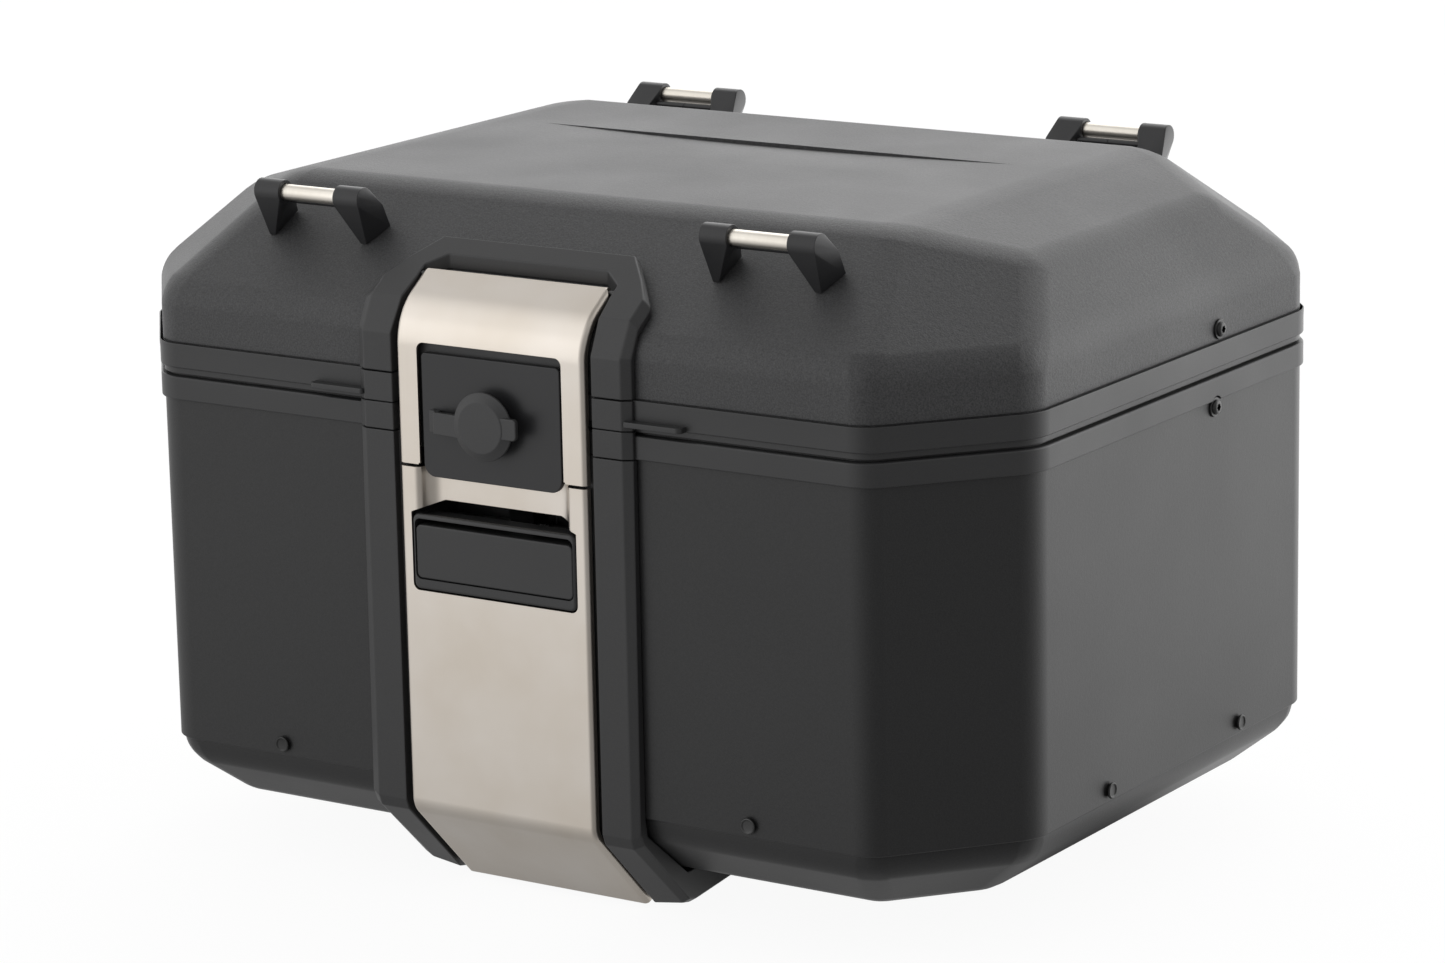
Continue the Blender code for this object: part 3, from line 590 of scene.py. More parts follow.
def button_bezel():
    """Frame round the release button, hollow behind its upper bar."""
    low, high = extent("button_bezel")
    bezel = slab("button_bezel_fine", front_outline("button_bezel", 3.0), "Y", low.y + 0.4, high.y)
    bevel(bezel, 1.4, 5)
    b_low, b_high = extent("release_button")
    top = b_high.z + BUTTON_GAP
    hole = rounded(rectangle(b_low.x - GAP, b_low.z - GAP, b_high.x + GAP, top), 2.8, 8)
    cut(bezel, slab("cut_bezel", hole, "Y", CUT_FRONT, -160),
        box("cut_pocket", (low.x + 2.5, low.y + 2.2, top + 0.8), (high.x - 2.5, high.y + 1, high.z + 1)))
    bevel(bezel, 0.35, 3, 50)
    settle(bezel, "case", "plastic", "button_bezel")


def release_button():
    """Long push button with softly rounded edges, and the plunger behind it."""
    front = extent("release_button")[0].y
    back, end = -171.0, -160.3
    plunger_z = 153.5
    button = slab("release_button_fine", front_outline("release_button", 2.6), "Y", front, back)
    bevel(button, 0.8, 5)
    join(button, rod("plunger", (0, back - 1, plunger_z), (0, end, plunger_z), 2.5))
    settle(button, "button", "plastic", "release_button")


# ---- metal plates

def plate_rows(path, columns, pressed_above=0.0):
    """Rows of a plate with rolled sides: (y, z, normal) along it and (x, depth) over its middle part.

    The depths only count for rows above the height pressed_above.
    """
    right = []
    for step in range(7):
        angle = pi / 2 * step / 6
        right.append((PLATE_HALF + PLATE_ROLL * (sin(angle) - 1), PLATE_ROLL * (1 - cos(angle))))
    right.append((PLATE_HALF, PLATE_ROLL + 0.9))
    left = [(-x, drop) for x, drop in reversed(right)]
    rows = []
    for y, z, normal in path:
        middle = [(x, depth if z > pressed_above else 0.0) for x, depth in columns]
        rows.append([(x, y - normal[0] * drop, z - normal[1] * drop) for x, drop in left + middle + right])
    return rows


def bent_path(start, corner, end, radius, steps, straight):
    """Points and outward normals along two straights joined by an arc."""
    start, corner, end = Vector(start), Vector(corner), Vector(end)
    back = (start - corner).normalized()
    ahead = (end - corner).normalized()
    half_turn = (pi - back.angle(ahead)) / 2
    centre = corner + (back + ahead).normalized() * radius / cos(half_turn)
    first, last = [corner + arm * radius * tan(half_turn) for arm in (back, ahead)]
    out_first, out_last = [(point - centre).normalized() for point in (first, last)]
    path = [(start.lerp(first, step / straight), out_first) for step in range(straight)]
    for step in range(steps + 1):
        out = out_first.slerp(out_last, step / steps)
        path.append((centre + out * radius, out))
    path += [(last.lerp(end, step / straight), out_last) for step in range(1, straight + 1)]
    return [(at.x, at.y, out) for at, out in path]


def flap_plate():
    """Bent flap plate with rolled sides, its hinge barrel and the lock's opening."""
    bottom = PLATE_SPLIT[1]
    path = bent_path((PLATE_FACE, bottom), (PLATE_FACE, slope_z(PLATE_FACE, PLATE_RISE)),
                     (FLAP_END_Y, slope_z(FLAP_END_Y, PLATE_RISE)), FLAP_BEND_RADIUS, 20, 8)
    plate = sheet("flap_plate_fine", plate_rows(path, [(x, 0) for x in (-30, -15, 0, 15, 30)]))
    thicken(plate, SHEET)
    edge = PLATE_HALF + PLATE_MARGIN
    plan = rounded(rectangle(-edge, CUT_FRONT, edge, FLAP_END_Y), [0, 0, 3.6, 3.6], 8)
    combine(plate, "INTERSECT", slab("keep_plan", plan, "Z", 150, 300))
    half, top = FLAP_OPENING
    opening = rounded(rectangle(-half, 170, half, top), 3.2, 8)
    cut(plate, slab("cut_opening", opening, "Y", CUT_FRONT, -172))
    for sign in (-1, 1):
        inner = [(sign * half, 191.0), (sign * (half + 2.2), 191.0), (sign * half, 194.7)]
        cut(plate, slab("cut_corner", rounded(inner, 0.3), "Y", CUT_FRONT, -172))
    bevel(plate, 0.28, 2, 45)
    y, z = FLAP_AXIS
    join(plate, rod("barrel", (2 - PLATE_HALF, y, z), (PLATE_HALF - 2, y, z), 2.4))
    cut(plate, rod("cut_pin", (-60, y, z), (60, y, z), 1.5))
    settle(plate, "flap", "champagne", "flap_plate")


def lower_latch_plate():
    """Plate below the flap, bent under the case, with the finger scoop and the bezel's opening."""
    pressed = (PLATE_SPLIT[0], 187.0, 182.0, 177.0, 171.6, 171.0)
    path = [(PLATE_FACE, z, Vector((-1, 0))) for z in pressed]
    path += bent_path((PLATE_FACE, 165.0), (PLATE_FACE, PLATE_BEND_Z), (-141.0, 3.0), 11.0, 16, 6)
    half = scoop_profile()
    columns = [(-x, depth) for x, depth in half] + list(reversed(half))
    plate = sheet("lower_latch_plate_fine", plate_rows(path, columns, pressed_above=171.3))
    thicken(plate, SHEET)
    edge = PLATE_HALF + PLATE_MARGIN
    front = rounded(rectangle(-edge, 2.9, edge, 260), [2.5, 2.5, 0, 0], 8)
    combine(plate, "INTERSECT", slab("keep_front", front, "Y", CUT_FRONT, -130))
    low, high = extent("button_bezel")
    edge = high.x + BEZEL_MARGIN
    inner = half[-2][0]
    bottom, top = low.z - BEZEL_MARGIN, high.z + 0.6
    opening = rounded([(-edge, bottom), (edge, bottom), (edge, top), (inner, SCOOP_FLOOR),
                       (-inner, SCOOP_FLOOR), (-edge, top)], [3.2, 3.2, 0.5, 2.5, 2.5, 0.5], 8)
    cut(plate, slab("cut_opening", opening, "Y", CUT_FRONT, -165),
        box("cut_hook_path", (-10, CUT_FRONT, 187.9), (10, -160, 200)))
    bevel(plate, 0.2, 2, 55)
    settle(plate, "case", "champagne", "lower_latch_plate")


def scoop_profile():
    """Right half of the scoop's plan as (x, depth), from its rounded edge to its flat back."""
    points = [(SCOOP_EDGE + 1.4, 0.0)]
    turn = radians(SCOOP_TURN)
    for step in range(9):
        angle = turn * step / 8
        points.append((SCOOP_EDGE - SCOOP_ROUND * sin(angle), SCOOP_ROUND * (1 - cos(angle))))
    x, depth = points[-1]
    for step in range(1, 11):
        angle = turn * (1 - step / 10)
        points.append((x - SCOOP_FILLET * (sin(turn) - sin(angle)),
                       depth + SCOOP_FILLET * (cos(angle) - cos(turn))))
    points.append((points[-1][0] - 8, points[-1][1]))
    return points


# ---- lock and key cap

def lock_plate():
    """Square lock plate with rounded lower corners."""
    low, high = extent("lock_plate")
    outline = front_outline("lock_plate", [5.5, 5.5, 2.0, 2.0])
    plate = bevel(slab("lock_plate_fine", outline, "Y", low.y, high.y), 0.5, 4)
    cut(plate, rod("cut_core", (0, CUT_FRONT, LOCK_Z), (0, -150, LOCK_Z), 8.3, 48))
    settle(plate, "flap", "bracket", "lock_plate")


def key_cap():
    """Rubber cap over the keyway, with a neck, a flange, a strap and a pull tab."""
    low, high = extent("key_cap")
    base = high.y - 0.1
    rim = base - CAP_RIM
    face = base - CAP_FACE
    profile = [(0, face), (CAP_FACE_RADIUS - 0.9, face), (CAP_FACE_RADIUS - 0.35, face - 0.12),
               (CAP_FACE_RADIUS, face - 0.45), (CAP_RADIUS - 0.7, rim + 0.25), (CAP_RADIUS - 0.2, rim),
               (CAP_RADIUS, rim - 0.4), (CAP_RADIUS - 0.1, rim - 1.0), (CAP_RADIUS - 0.6, rim - 1.3),
               (CAP_NECK_RADIUS, rim - 1.6), (CAP_NECK_RADIUS, 0.0), (0, 0.0)]
    cap = turned("key_cap_fine", profile, (0, base, CAP_Z), (0, -1, 0), 80)
    level = CAP_RIM + 1.2
    bend = low.x + 4.2
    side = [(low.x, base), (low.x, base - 1.6), (bend - 1.0, base - 1.8), (bend - 0.4, level),
            (1.5 - CAP_RADIUS, level - 1.2), (-9.0, CAP_FACE + 0.6), (-7.0, CAP_FACE + 0.6),
            (-7.0, level + 1.6), (bend + 1.2, level + 1.4), (bend + 0.8, base)]
    side = rounded(side, [0.3, 0.4, 0.8, 0.9, 2, 0.2, 0.2, 0.2, 0.5, 0.3], 4)
    strap = bevel(slab("strap", side, "Z", CAP_Z - 5.8, CAP_Z + 3.4), 0.3, 3, 50)
    outline = rounded(rectangle(5.0, CAP_Z - 3.9, 18.0, CAP_Z + 5.2), [0, 2.0, 1.6, 0], 6)
    tab = bevel(slab("tab", outline, "Y", CAP_FACE + 0.35, CAP_FACE + 2.6), 0.55, 4, 50)
    join(cap, strap, tab)
    settle(cap, "cap", "cap_rubber", "key_cap")


# ---- lid

def lid_cage():
    """Flat-faced outer skin of the lid: walls, slopes, corner facets and top."""
    bm = bmesh.new()
    rim, crease = [[bm.verts.new((*corner, z)) for corner in octagon(WALL_INSET)]
                   for z in (LID[0].z, CREASE_Z)]
    top, side = {}, {}
    for across in (1, -1):
        for along in (-1, 1):
            key = (across, along)
            top[key] = bm.verts.new((across * TOP_HALF[0], along * TOP_HALF[1], LID_TOP))
            side[key] = bm.verts.new((across * SIDE_CREASE[0], along * SIDE_CREASE[1], SIDE_CREASE_Z))
    for index in range(8):
        after = (index + 1) % 8
        bm.faces.new((rim[index], rim[after], crease[after], crease[index]))
    bm.faces.new((crease[7], crease[0], top[1, -1], top[-1, -1]))
    bm.faces.new((crease[3], crease[4], top[-1, 1], top[1, 1]))
    for across, low, high in ((1, 1, 2), (-1, 6, 5)):
        front, rear = (across, -1), (across, 1)
        bm.faces.new((crease[low], crease[high], side[rear], side[front]))
        bm.faces.new((side[front], side[rear], top[rear], top[front]))
    for by_end, by_side, key in ((0, 1, (1, -1)), (3, 2, (1, 1)), (4, 5, (-1, 1)), (7, 6, (-1, -1))):
        bm.faces.new((crease[by_end], crease[by_side], side[key], top[key]))
    bm.faces.new((top[1, -1], top[1, 1], top[-1, 1], top[-1, -1]))
    return raw("lid_shell_skin", bm)


def dish_cutter():
    """Solid whose underside is the shallow dish: deepest in the middle of its rear edge."""
    columns, rows = 64, 16
    lift = 0.03
    sections = []
    for row in range(rows + 1):
        along = row / rows
        y = DISH_EDGE_Y - DISH_LENGTH * (1 - along)
        section = []
        for column in range(columns + 1):
            x = DISH_HALF * (2 * column / columns - 1)
            sideways = max(0.0, 1 - (x / DISH_HALF) ** 2) ** 1.3
            section.append((x, y, LID_TOP + lift - DISH_DEPTH * sideways * along ** 2))
        section += [(x, y, LID_TOP + 4) for x in (DISH_HALF, -DISH_HALF)]
        sections.append(section)
    return loft("cut_dish", sections)


def lid_shell():
    """Moulded lid shell with softly rounded creases and the shallow dish on top."""
    shell = bevel(lid_cage(), CORNER_REACH, 8, 8)
    thicken(shell, LID_THICKNESS)
    low, high = LID_BAND[1] - 0.3, LID_BAND[1] + 0.6
    outer, inner = WALL_INSET - 1.0, WALL_INSET + 0.9
    line = [(outer, low), (outer, high), (inner, high), (inner, low)]
    cut(shell, notch_cutter(), dish_cutter(), ring("cut_line", line))
    settle(shell, "lid", "lid_grain", "lid_shell", smooth=24.0)


def lid_surround():
    """Raised border round the flap: up the lid's wall, over its slope and across the top."""
    half = []
    for z in (LID_BAND[1] + GAP, CREASE_Z - 6.0):
        half.append([(COLUMN_FOOT, COLUMN_BACK, z), (COLUMN_FOOT, COLUMN_FACE + SHOULDER, z),
                     (COLUMN_FRONT, COLUMN_FACE, z), (COLUMN_INNER, COLUMN_FACE, z),
                     (COLUMN_INNER, COLUMN_BACK, z)])
    plan = [  # outer half width and y, inner half width and y, shoulder's width and its step back
        (COLUMN_FOOT, -171.0, COLUMN_INNER - 0.8, -171.0, 4.0, 0.0),
        (COLUMN_FOOT, -161.0, 48.7, -161.0, 4.0, 0.0),
        (60.0, -151.0, 48.7, -155.5, 1.8, 1.2),
        (50.0, -140.5, 40.0, -149.7, 1.8, 1.2),
    ]
    rise = 5.7
    for outer_x, outer_y, inner_x, inner_y, inward, back in plan:
        section = [(outer_x, outer_y, GAP), (outer_x, outer_y, rise - SHOULDER),
                   (outer_x - inward, outer_y - back, rise),
                   (inner_x, inner_y, rise), (inner_x, inner_y, GAP)]
        half.append([(x, y, slope_z(y, height)) for x, y, height in section])
    mirrored = [[(-x, y, z) for x, y, z in section] for section in reversed(half)]
    surround = bevel(loft("lid_surround_fine", half + mirrored), 1.1, 4, 12)
    y, z = FLAP_AXIS
    cut(surround, rod("cut_pin", (-51, y, z), (51, y, z), 1.5))
    settle(surround, "lid", "plastic", "lid_surround")


def lashing_eyes():
    """Four lashing eyes: a steel rod between two brackets, over a thin dark link."""
    for x_sign, x_name in SIDES:
        for y_sign, y_name in ((-1, "front"), (1, "rear")):
            eye = f"{y_name}_{x_name}"
            centre = Vector((x_sign * EYE_X, y_sign * EYE_Y, EYE_Z))
            link = centre - Vector((0, y_sign * LINK_BACK, LINK_DROP))
            half = Vector((ROD_HALF, 0, 0))
            bar = rod(f"lashing_rod_{eye}_fine", centre - half, centre + half, ROD_RADIUS, 48)
            bevel(bar, 0.4, 3)
            settle(bar, "lid", "rod_steel", f"lashing_rod_{eye}")
            half.x += GAP
            for side, side_name in ((-1, "a"), (1, "b")):
                node = f"lashing_bracket_{eye}_{side_name}"
                bracket = lashing_bracket(f"{node}_fine", centre.x, side, y_sign)
                start, end = [link + Vector((side * reach, 0, 0)) for reach in (GAP / 2, LINK_REACH)]
                join(bracket, rod("link", start, end, LINK_RADIUS))
                cut(bracket, rod("cut_rod", centre - half, centre + half, ROD_RADIUS + GAP))
                settle(bracket, "lid", "bracket", node)


def lashing_bracket(name, centre, side, y_sign):
    """Hull of a round boss about the rod's end and a foot that spreads back up the slope."""
    points = []
    for step in range(24):
        angle = 2 * pi * step / 24
        y = BOSS_RADIUS * cos(angle) - EYE_Y
        z = BOSS_RADIUS * sin(angle) + EYE_Z
        points += [(14.5, y, z), (27.6, y, z)]
    tip = 24.0 if side < 0 else 22.0
    for reach, y in ((tip, -142.6), (tip + 3.0, -142.6), (30.6, -132.6), (21.0, -130.0)):
        points.append((reach, y, slope_z(y, GAP)))
    points += [(30.0, -136.8, 292.3), (22.5, -136.0, 291.6)]
    bm = bmesh.new()
    for reach, y, z in points:
        bm.verts.new((centre + side * reach, -y_sign * y, z))
    bmesh.ops.convex_hull(bm, input=bm.verts)
    bmesh.ops.dissolve_limit(bm, angle_limit=radians(2), verts=bm.verts, edges=bm.edges)
    return bevel(raw(name, bm), 0.9, 4, 25)


# ---- fasteners

def rivets():
    """Blind rivets with a raised ring round a dished middle."""
    profile = [(0, 1.45), (2.2, 1.45), (2.5, 1.6), (2.75, 1.95), (3.1, 2.0), (3.4, 1.75), (3.55, 1.4),
               (3.4, 1.1), (2.7, 0.95), (2.7, 0.1), (2.0, 0.1), (2.0, -4.8), (3.2, -4.8), (3.2, -6.2),
               (0, -6.2)]
    outward = {"front": (0, -1, 0), "rear": (0, 1, 0), "left": (-1, 0, 0), "right": (1, 0, 0)}
    for node in sorted(name for name in frame["nodes"] if name.startswith("rivet_")):
        direction = outward[node.split("_")[1]]
        at = centre_of(node)
        if direction[0]:
            at.x = direction[0] * WALL_SIDE
        else:
            at.y = direction[1] * -WALL_FRONT
        rivet = turned(f"{node}_fine", profile, at, direction, 36)
        settle(rivet, "case", "black_steel", node, smooth=50)


def strap_screws():
    """Pan-head screws with a six-lobed socket, each on a flat washer."""
    profile = [(0, 2.5), (2.1, 2.5), (2.8, 2.2), (3.2, 1.6), (3.25, 1.0), (4.15, 0.95), (4.35, 0.7),
               (4.35, 0.1), (2.5, 0.1), (2.5, -7.2), (0, -7.2)]
    for part, body in PARTS:
        for sign, side in SIDES:
            node = f"{part}_strap_screw_{side}"
            middle = centre_of(node)
            middle.x = sign * WALL_SIDE
            screw = turned(f"{node}_fine", profile, middle, (sign, 0, 0), 40)
            depths = sorted((middle.x + sign, middle.x + sign * 6))
            cut(screw, slab("cut_socket", six_lobes(middle.y, middle.z), "X", *depths))
            settle(screw, body, "black_steel", node, smooth=40)


def six_lobes(y, z):
    """Outline of a six-lobed socket."""
    points = []
    for step in range(36):
        angle = 2 * pi * step / 36
        reach = SOCKET_RADIUS * (1 + 0.13 * cos(6 * angle))
        points.append((y + reach * cos(angle), z + reach * sin(angle)))
    return points


def hinge_leaves():
    """Rear hinge leaves with rounded corners, rolled knuckles and flush rivet heads."""
    axis = centre_of("hinge_pin_left")
    back, face = HINGE_FACE
    head = [(0, 1.5), (1.6, 1.4), (2.8, 1.0), (3.4, 0.4), (3.5, -0.5), (0, -0.5)]
    for sign, side in SIDES:
        centre = sign * HINGE_X
        for part, body in PARTS:
            node = f"{part}_hinge_leaf_{side}"
            low, high = extent(node)
            left, right = low.x, high.x
            if part == "body":
                outline = rounded(rectangle(left, low.z, right, 213.5), [4, 4, 0, 0], 6)
                bridge = (211, 216.5)
                rivet_z = 199.5
            else:
                outline = rounded(rectangle(left, 222.5, right, high.z), [0, 0, 4, 4], 6)
                left, right = centre - KNUCKLE_HALF, centre + KNUCKLE_HALF
                bridge = (219.4, 225)
                rivet_z = 236.5
            leaf = bevel(slab(f"{node}_fine", outline, "Y", back, face), 0.4, 3)
            join(leaf, box("bridge", (left, back, bridge[0]), (right, face + 5, bridge[1])),
                 rod("knuckle", (left, axis.y, axis.z), (right, axis.y, axis.z), KNUCKLE_RADIUS, 48),
                 *[turned("head", head, (centre + offset, face, rivet_z), (0, 1, 0), 28)
                   for offset in (-HINGE_RIVET, HINGE_RIVET)])
            if part == "body":
                half = KNUCKLE_HALF + GAP
                cut(leaf, box("cut_middle", (centre - half, 170, 210), (centre + half, 190, 230)))
            cut(leaf, rod("cut_pin", (centre - 40, axis.y, axis.z), (centre + 40, axis.y, axis.z), 2.3))
            settle(leaf, body, "powder", node)


def feet():
    """Rubber feet with a waisted side and a hollow underneath."""
    top = extent("foot_front_left")[1].z
    profile = [(0, top), (14.6, top), (15.2, top - 0.4), (15.6, top - 1.2), (15.8, top - 2.6),
               (15.2, top - 4.5), (14.6, top - 9), (14.3, 5.0), (14.0, 2.2), (13.4, 0.8), (12.4, 0.1),
               (11.8, 0.0), (5.4, 0.0), (4.8, 0.5), (4.2, 4.0), (0, 4.0)]
    for node in sorted(name for name in frame["nodes"] if name.startswith("foot_")):
        middle = centre_of(node)
        foot = turned(f"{node}_fine", profile, (middle.x, middle.y, 0), (0, 0, 1), 56)
        settle(foot, "case", "rubber", node, smooth=50)


def base_plate():
    """Pressed steel plate in the middle of the pan, with rounded corners and bevelled edges."""
    low, high = extent("base_plate")
    outline = rounded(rectangle(low.x, low.y, high.x, high.y), 12.0, 10)
    plate = bevel(slab("base_plate_fine", outline, "Z", low.z, high.z), 0.8, 3)
    settle(plate, "case", "plate_steel", "base_plate")


def check_straps():
    """Webbing straps between the side screws, blending from the case to the lid."""
    for sign, side in SIDES:
        low_end = centre_of(f"body_strap_screw_{side}")
        high_end = centre_of(f"lid_strap_screw_{side}")
        x = sign * STRAP_X
        rise = high_end.z - low_end.z
        rows = []
        for step in range(STRAP_ROWS + 1):
            share = step / STRAP_ROWS
            z = low_end.z - 10 + (rise + 16) * share
            y = low_end.y + (high_end.y - low_end.y) * share
            rows.append([(x, y + STRAP_WIDTH * (across / STRAP_COLUMNS - 0.5), z)
                         for across in range(STRAP_COLUMNS + 1)])
        strap = thicken(sheet(f"check_strap_{side}_web", rows), STRAP_THICKNESS, offset=0)
        bevel(strap, 0.3, 2, 50)
        strap.data.shade_smooth()
        dress(strap, "webbing")
        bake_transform(strap)
        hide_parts(f"check_strap_{side}")


# ---- materials

def add(tree, kind, inputs=None, **attributes):
    """Add a node with these inputs and attributes; an input that is a socket is linked."""
    made = tree.nodes.new("ShaderNode" + kind)
    for name, value in attributes.items():
        setattr(made, name, value)
    for name, value in (inputs or {}).items():
        if isinstance(value, bpy.types.NodeSocket):
            tree.links.new(value, made.inputs[name])
        else:
            made.inputs[name].default_value = value
    return made


def feed(shader, name, value):
    """Link a socket to one of the shader's inputs."""
    shader.id_data.links.new(value, shader.inputs[name])


def maths(tree, operation, first, second):
    """Result of a two-input maths node; inputs are sockets or numbers."""
    return add(tree, "Math", {0: first, 1: second}, operation=operation).outputs[0]


def ranged(tree, value, start, stop, low, high, smooth="SMOOTHSTEP"):
    """Map value from start..stop to low..high."""
    inputs = {"Value": value, "From Min": start, "From Max": stop, "To Min": low, "To Max": high}
    return add(tree, "MapRange", inputs, interpolation_type=smooth).outputs["Result"]


def new_look(name, metallic=0.0):
    """A Principled material with object coordinates, ready for its own nodes."""
    material = bpy.data.materials.new(name)
    material.use_nodes = True
    tree = material.node_tree
    shader = tree.nodes["Principled BSDF"]
    shader.inputs["Metallic"].default_value = metallic
    return material, tree, shader, add(tree, "TexCoord").outputs["Object"]


def noise(tree, where, size, detail=2.0, roughness=0.5):
    """Noise whose features are about size millimetres across."""
    inputs = {"Vector": where, "Scale": 1 / (size * MM), "Detail": detail, "Roughness": roughness}
    return add(tree, "TexNoise", inputs).outputs["Fac"]


def spread(tree, value, low=0.0, high=1.0):
    """Map a noise value to the range low to high."""
    return ranged(tree, value, *NOISE_RANGE, low, high, smooth="LINEAR")


def tint(tree, shader, value, dark, light):
    """Colour the shader between dark and light."""
    mixed = add(tree, "Mix", {0: value, 6: (*dark, 1), 7: (*light, 1)}, data_type="RGBA")
    feed(shader, "Base Color", mixed.outputs[2])


def bump(tree, shader, height, depth, before=None):
    """Bump the surface by depth millimetres."""
    inputs = {"Height": height, "Distance": depth * MM}
    if before is not None:
        inputs["Normal"] = before
    made = add(tree, "Bump", inputs).outputs["Normal"]
    feed(shader, "Normal", made)
    return made


def grained(name, dark, light, rough, grain_size, grain_depth):
    """Painted or moulded surface: patchy tone and gloss, with a grain of its own size."""
    material, tree, shader, where = new_look(name)
    patches = noise(tree, where, PATCH_SIZE, 3.0)
    fine = noise(tree, where, grain_size, 3.0, 0.6)
    tint(tree, shader, spread(tree, fine), dark, light)
    feed(shader, "Roughness", spread(tree, patches, *rough))
    coarse = noise(tree, where, grain_size * 2.6)
    first = bump(tree, shader, coarse, grain_depth)
    bump(tree, shader, fine, grain_depth * 0.8, before=first)
    return material


def metal(name, dark, light, rough, stretch=(1, 1, 1), depth=0.006, grain=0.25):
    """Metal with a satin or brushed surface; stretch draws the grain out along one axis."""
    material, tree, shader, where = new_look(name, metallic=1.0)
    patches = noise(tree, where, 40.0, 3.0)
    tint(tree, shader, spread(tree, patches), dark, light)
    where = add(tree, "Mapping", {"Vector": where, "Scale": stretch}).outputs["Vector"]
    fine = noise(tree, where, grain, 3.0, 0.6)
    feed(shader, "Roughness", spread(tree, fine, *rough))
    bump(tree, shader, fine, depth)
    return material


def woven(name):
    """Black webbing: a tight weave across and along."""
    material, tree, shader, where = new_look(name)
    across = add(tree, "TexWave", {"Vector": where, "Scale": 180.0}, bands_direction="Y")
    along = add(tree, "TexWave", {"Vector": where, "Scale": 700.0}, bands_direction="Z")
    weave = maths(tree, "MULTIPLY", across.outputs["Fac"], along.outputs["Fac"])
    tint(tree, shader, weave, (0.008, 0.008, 0.009), (0.035, 0.035, 0.038))
    shader.inputs["Roughness"].default_value = 0.9
    shader.inputs["Sheen Weight"].default_value = 0.3
    bump(tree, shader, weave, 0.25)
    return material


def make_looks():
    """Every look: the record's slot that it stands for, and its material."""
    return {
        "powder": ("powder_coat", grained(
            "powder_coat", (0.012, 0.012, 0.0125), (0.022, 0.022, 0.0225), (0.40, 0.44), 0.55, 0.035)),
        "lid_grain": ("lid_plastic", grained(
            "lid_grain", (0.024, 0.024, 0.025), (0.068, 0.068, 0.070), (0.47, 0.53), 0.7, 0.11)),
        "plastic": ("moulded_plastic", grained(
            "moulded_plastic", (0.026, 0.026, 0.0265), (0.037, 0.037, 0.038), (0.36, 0.45), 0.35, 0.018)),
        "bracket": ("moulded_plastic", grained(
            "bracket_plastic", (0.015, 0.015, 0.0162), (0.023, 0.023, 0.0245), (0.34, 0.42), 0.35, 0.018)),
        "cap_rubber": ("rubber", grained(
            "cap_rubber", (0.036, 0.036, 0.037), (0.046, 0.046, 0.047), (0.42, 0.50), 0.4, 0.02)),
        "rubber": ("rubber", grained(
            "foot_rubber", (0.014, 0.014, 0.014), (0.024, 0.024, 0.024), (0.7, 0.85), 0.8, 0.06)),
        "seal": ("seal_rubber", grained(
            "seal_rubber", (0.01, 0.01, 0.01), (0.016, 0.016, 0.016), (0.6, 0.7), 0.5, 0.03)),
        "champagne": ("champagne_metal", metal(
            "champagne_metal", (0.69, 0.625, 0.548), (0.75, 0.695, 0.632), (0.29, 0.37), depth=0.003)),
        "rod_steel": ("steel", metal(
            "satin_steel", (0.72, 0.675, 0.60), (0.84, 0.795, 0.72), (0.30, 0.42),
            stretch=(1, 0.05, 0.05), depth=0.008, grain=0.35)),
        "steel": ("steel", metal("zinc_steel", (0.46, 0.46, 0.45), (0.6, 0.6, 0.58), (0.28, 0.42))),
        "black_steel": ("black_steel", metal(
            "black_oxide_steel", (0.05, 0.05, 0.05), (0.085, 0.085, 0.085), (0.3, 0.42))),
        "plate_steel": ("plate_metal", metal(
            "coated_plate", (0.05, 0.05, 0.052), (0.08, 0.08, 0.083), (0.4, 0.5), depth=0.01, grain=0.6)),
        "webbing": ("webbing", woven("webbing")),
    }


def dress_kept_nodes():
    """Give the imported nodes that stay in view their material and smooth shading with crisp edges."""
    kept = {"steel": ("hinge_pin_left", "hinge_pin_right", "catch_pin", "key_core", "lock_cam"),
            "black_steel": ("catch_lever", "catch_spring", "latch_hook", "flap_pin"),
            "seal": ("lid_seal",),
            "plastic": ("latch_tray", "lock_body")}
    for look, names in kept.items():
        for name in names:
            node = frame["nodes"][name]
            node.data.shade_smooth()
            node.data.set_sharp_from_angle(angle=radians(35))
            dress(node, look)


# ---- stage, light and camera

def studio_light(tree, direction):
    """Brightness of the studio in a direction: a bright wall behind, a dark one to the right."""
    parts = add(tree, "SeparateXYZ", {0: direction}).outputs
    beside = maths(tree, "SUBTRACT", maths(tree, "MULTIPLY", parts["X"], 0.835),
                   maths(tree, "MULTIPLY", parts["Y"], 0.55))
    level = ranged(tree, parts["Z"], -0.8, 0.1, *FLOOR_LIGHT, smooth="LINEAR")
    level = maths(tree, "MULTIPLY", level, ranged(tree, parts["Z"], 0.68, 1.0, 1.0, CEILING_LIGHT))
    wall = ranged(tree, parts["Y"], 0.3, 0.8, 1.0, BRIGHT_WALL)
    shade = ranged(tree, beside, 0.3, 0.9, 0.0, DARK_WALL)
    towards = add(tree, "VectorMath", {0: direction, 1: GLOW_TOWARDS}, operation="DOT_PRODUCT")
    glow = ranged(tree, towards.outputs["Value"], 0.86, 0.985, 0.0, FRONT_GLOW)
    level = maths(tree, "MULTIPLY", level, maths(tree, "SUBTRACT", wall, shade))
    return maths(tree, "ADD", level, glow)


def show(tree, output, studio, seen):
    """Show one shader to the camera and another to everything else."""
    camera_ray = add(tree, "LightPath").outputs["Is Camera Ray"]
    mix = add(tree, "MixShader", {0: camera_ray, 1: studio, 2: seen})
    tree.links.new(mix.outputs[0], output.inputs["Surface"])


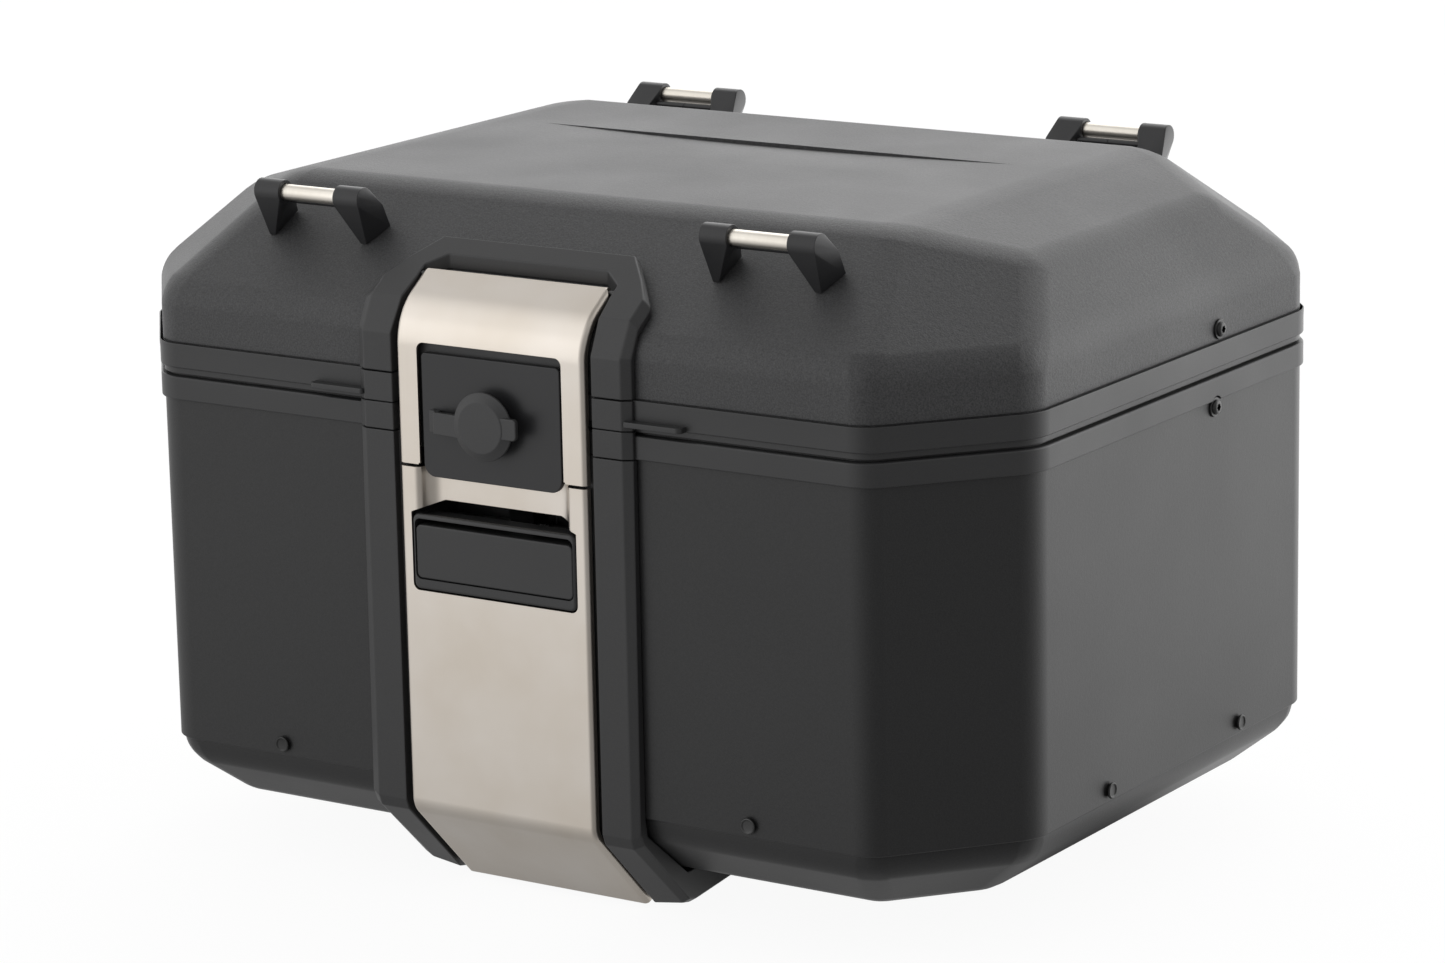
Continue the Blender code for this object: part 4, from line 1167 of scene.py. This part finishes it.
def floor():
    """Plain pale floor: near white with a soft shadow to the camera; for everything else it glows with the
    studio's light, dimmed under and around the case as painted shade.
    """
    bm = bmesh.new()
    bmesh.ops.create_grid(bm, x_segments=1, y_segments=1, size=FLOOR_SIZE)
    plane = raw("floor", bm)
    material, tree, shader, where = new_look("pale_floor")
    material.cycles.emission_sampling = "NONE"
    shader.inputs["Base Color"].default_value = (0.8, 0.8, 0.8, 1)
    shader.inputs["Roughness"].default_value = 0.9
    glow = add(tree, "Emission", {"Strength": FLOOR_GLOW}).outputs[0]
    seen = add(tree, "MixShader", {0: FLOOR_WHITE, 1: shader.outputs[0], 2: glow}).outputs[0]
    towards = add(tree, "NewGeometry").outputs["Incoming"]
    away = add(tree, "VectorMath", {0: towards, 3: -1.0}, operation="SCALE").outputs[0]
    # Painted shade: the floor's glow is dimmed in an ellipse under the case and fades out beside it
    shrink = (1 / SHADE_REACH[0], 1 / SHADE_REACH[1], 0)
    scaled = add(tree, "VectorMath", {0: where, 1: shrink}, operation="MULTIPLY").outputs[0]
    reach = add(tree, "VectorMath", {0: scaled}, operation="LENGTH").outputs["Value"]
    under = maths(tree, "MULTIPLY", ranged(tree, reach, 0.6, 1.0, SHADE_UNDER, 1.0),
                  ranged(tree, reach, 1.0, SHADE_END, SHADE_BESIDE, 1.0, smooth="LINEAR"))
    strength = maths(tree, "MULTIPLY", studio_light(tree, away), under)
    studio = add(tree, "Emission", {"Strength": strength}).outputs[0]
    show(tree, tree.nodes["Material Output"], studio, seen)
    plane.data.materials.append(material)


def world():
    """White background for the camera; the studio's walls and ceiling for everything else."""
    sky = bpy.data.worlds.new("studio")
    sky.use_nodes = True
    tree = sky.node_tree
    tree.nodes.clear()
    direction = add(tree, "TexCoord").outputs["Generated"]
    light = add(tree, "Background", {"Strength": studio_light(tree, direction)})
    white = add(tree, "Background", {"Color": (1, 1, 1, 1)})
    show(tree, add(tree, "OutputWorld"), light.outputs[0], white.outputs[0])
    bpy.context.scene.world = sky
    bpy.context.scene.view_settings.view_transform = "Standard"


def softbox(name, stands_at, target, size, power):
    """Soft area light aimed at a point; lengths in metres."""
    data = bpy.data.lights.new(name, "AREA")
    data.shape = "RECTANGLE"
    data.size, data.size_y = size
    data.energy = power
    lamp = place(name, data)
    lamp.location = stands_at
    aim = Vector(target) - Vector(stands_at)
    lamp.rotation_euler = aim.to_track_quat("-Z", "Y").to_euler()


def lights():
    """Three lights: rear right, front left and overhead."""
    target = (0, 0, 0.15)
    softbox("rear_right", (1.7, 1.5, 0.75), target, (1.6, 1.2), 7.5)
    softbox("front_left", (-1.5, -1.9, 0.7), target, (1.4, 1.4), 3)
    softbox("overhead", (-0.5, 1.1, 2.1), target, (1.6, 1.6), 7)


def camera():
    """Camera in front and to the right, a little above the lid."""
    azimuth = radians(33.347)
    elevation = radians(13.450)
    roll = radians(1.134)
    back = Vector((sin(azimuth) * cos(elevation), -cos(azimuth) * cos(elevation), sin(elevation)))
    right = Vector((0, 0, 1)).cross(back).normalized()
    up = back.cross(right)
    side = cos(roll) * right - sin(roll) * up
    top = sin(roll) * right + cos(roll) * up
    data = bpy.data.cameras.new("camera")
    data.lens = 125.14
    view = place("camera", data)
    turn = Matrix((side, top, back)).transposed().to_4x4()
    view.matrix_world = Matrix.Translation((1.1908, -1.8158, 0.6714)) @ turn
    bpy.context.scene.camera = view


# ---- assembly

LOOKS = make_looks()
body_wall()
bottom_pan()
body_frame()
body_surround()
button_bezel()
release_button()
flap_plate()
lower_latch_plate()
lock_plate()
key_cap()
lid_shell()
lid_frame()
lid_surround()
lashing_eyes()
rivets()
strap_screws()
hinge_leaves()
feet()
base_plate()
check_straps()
dress_kept_nodes()
floor()
world()
lights()
camera()
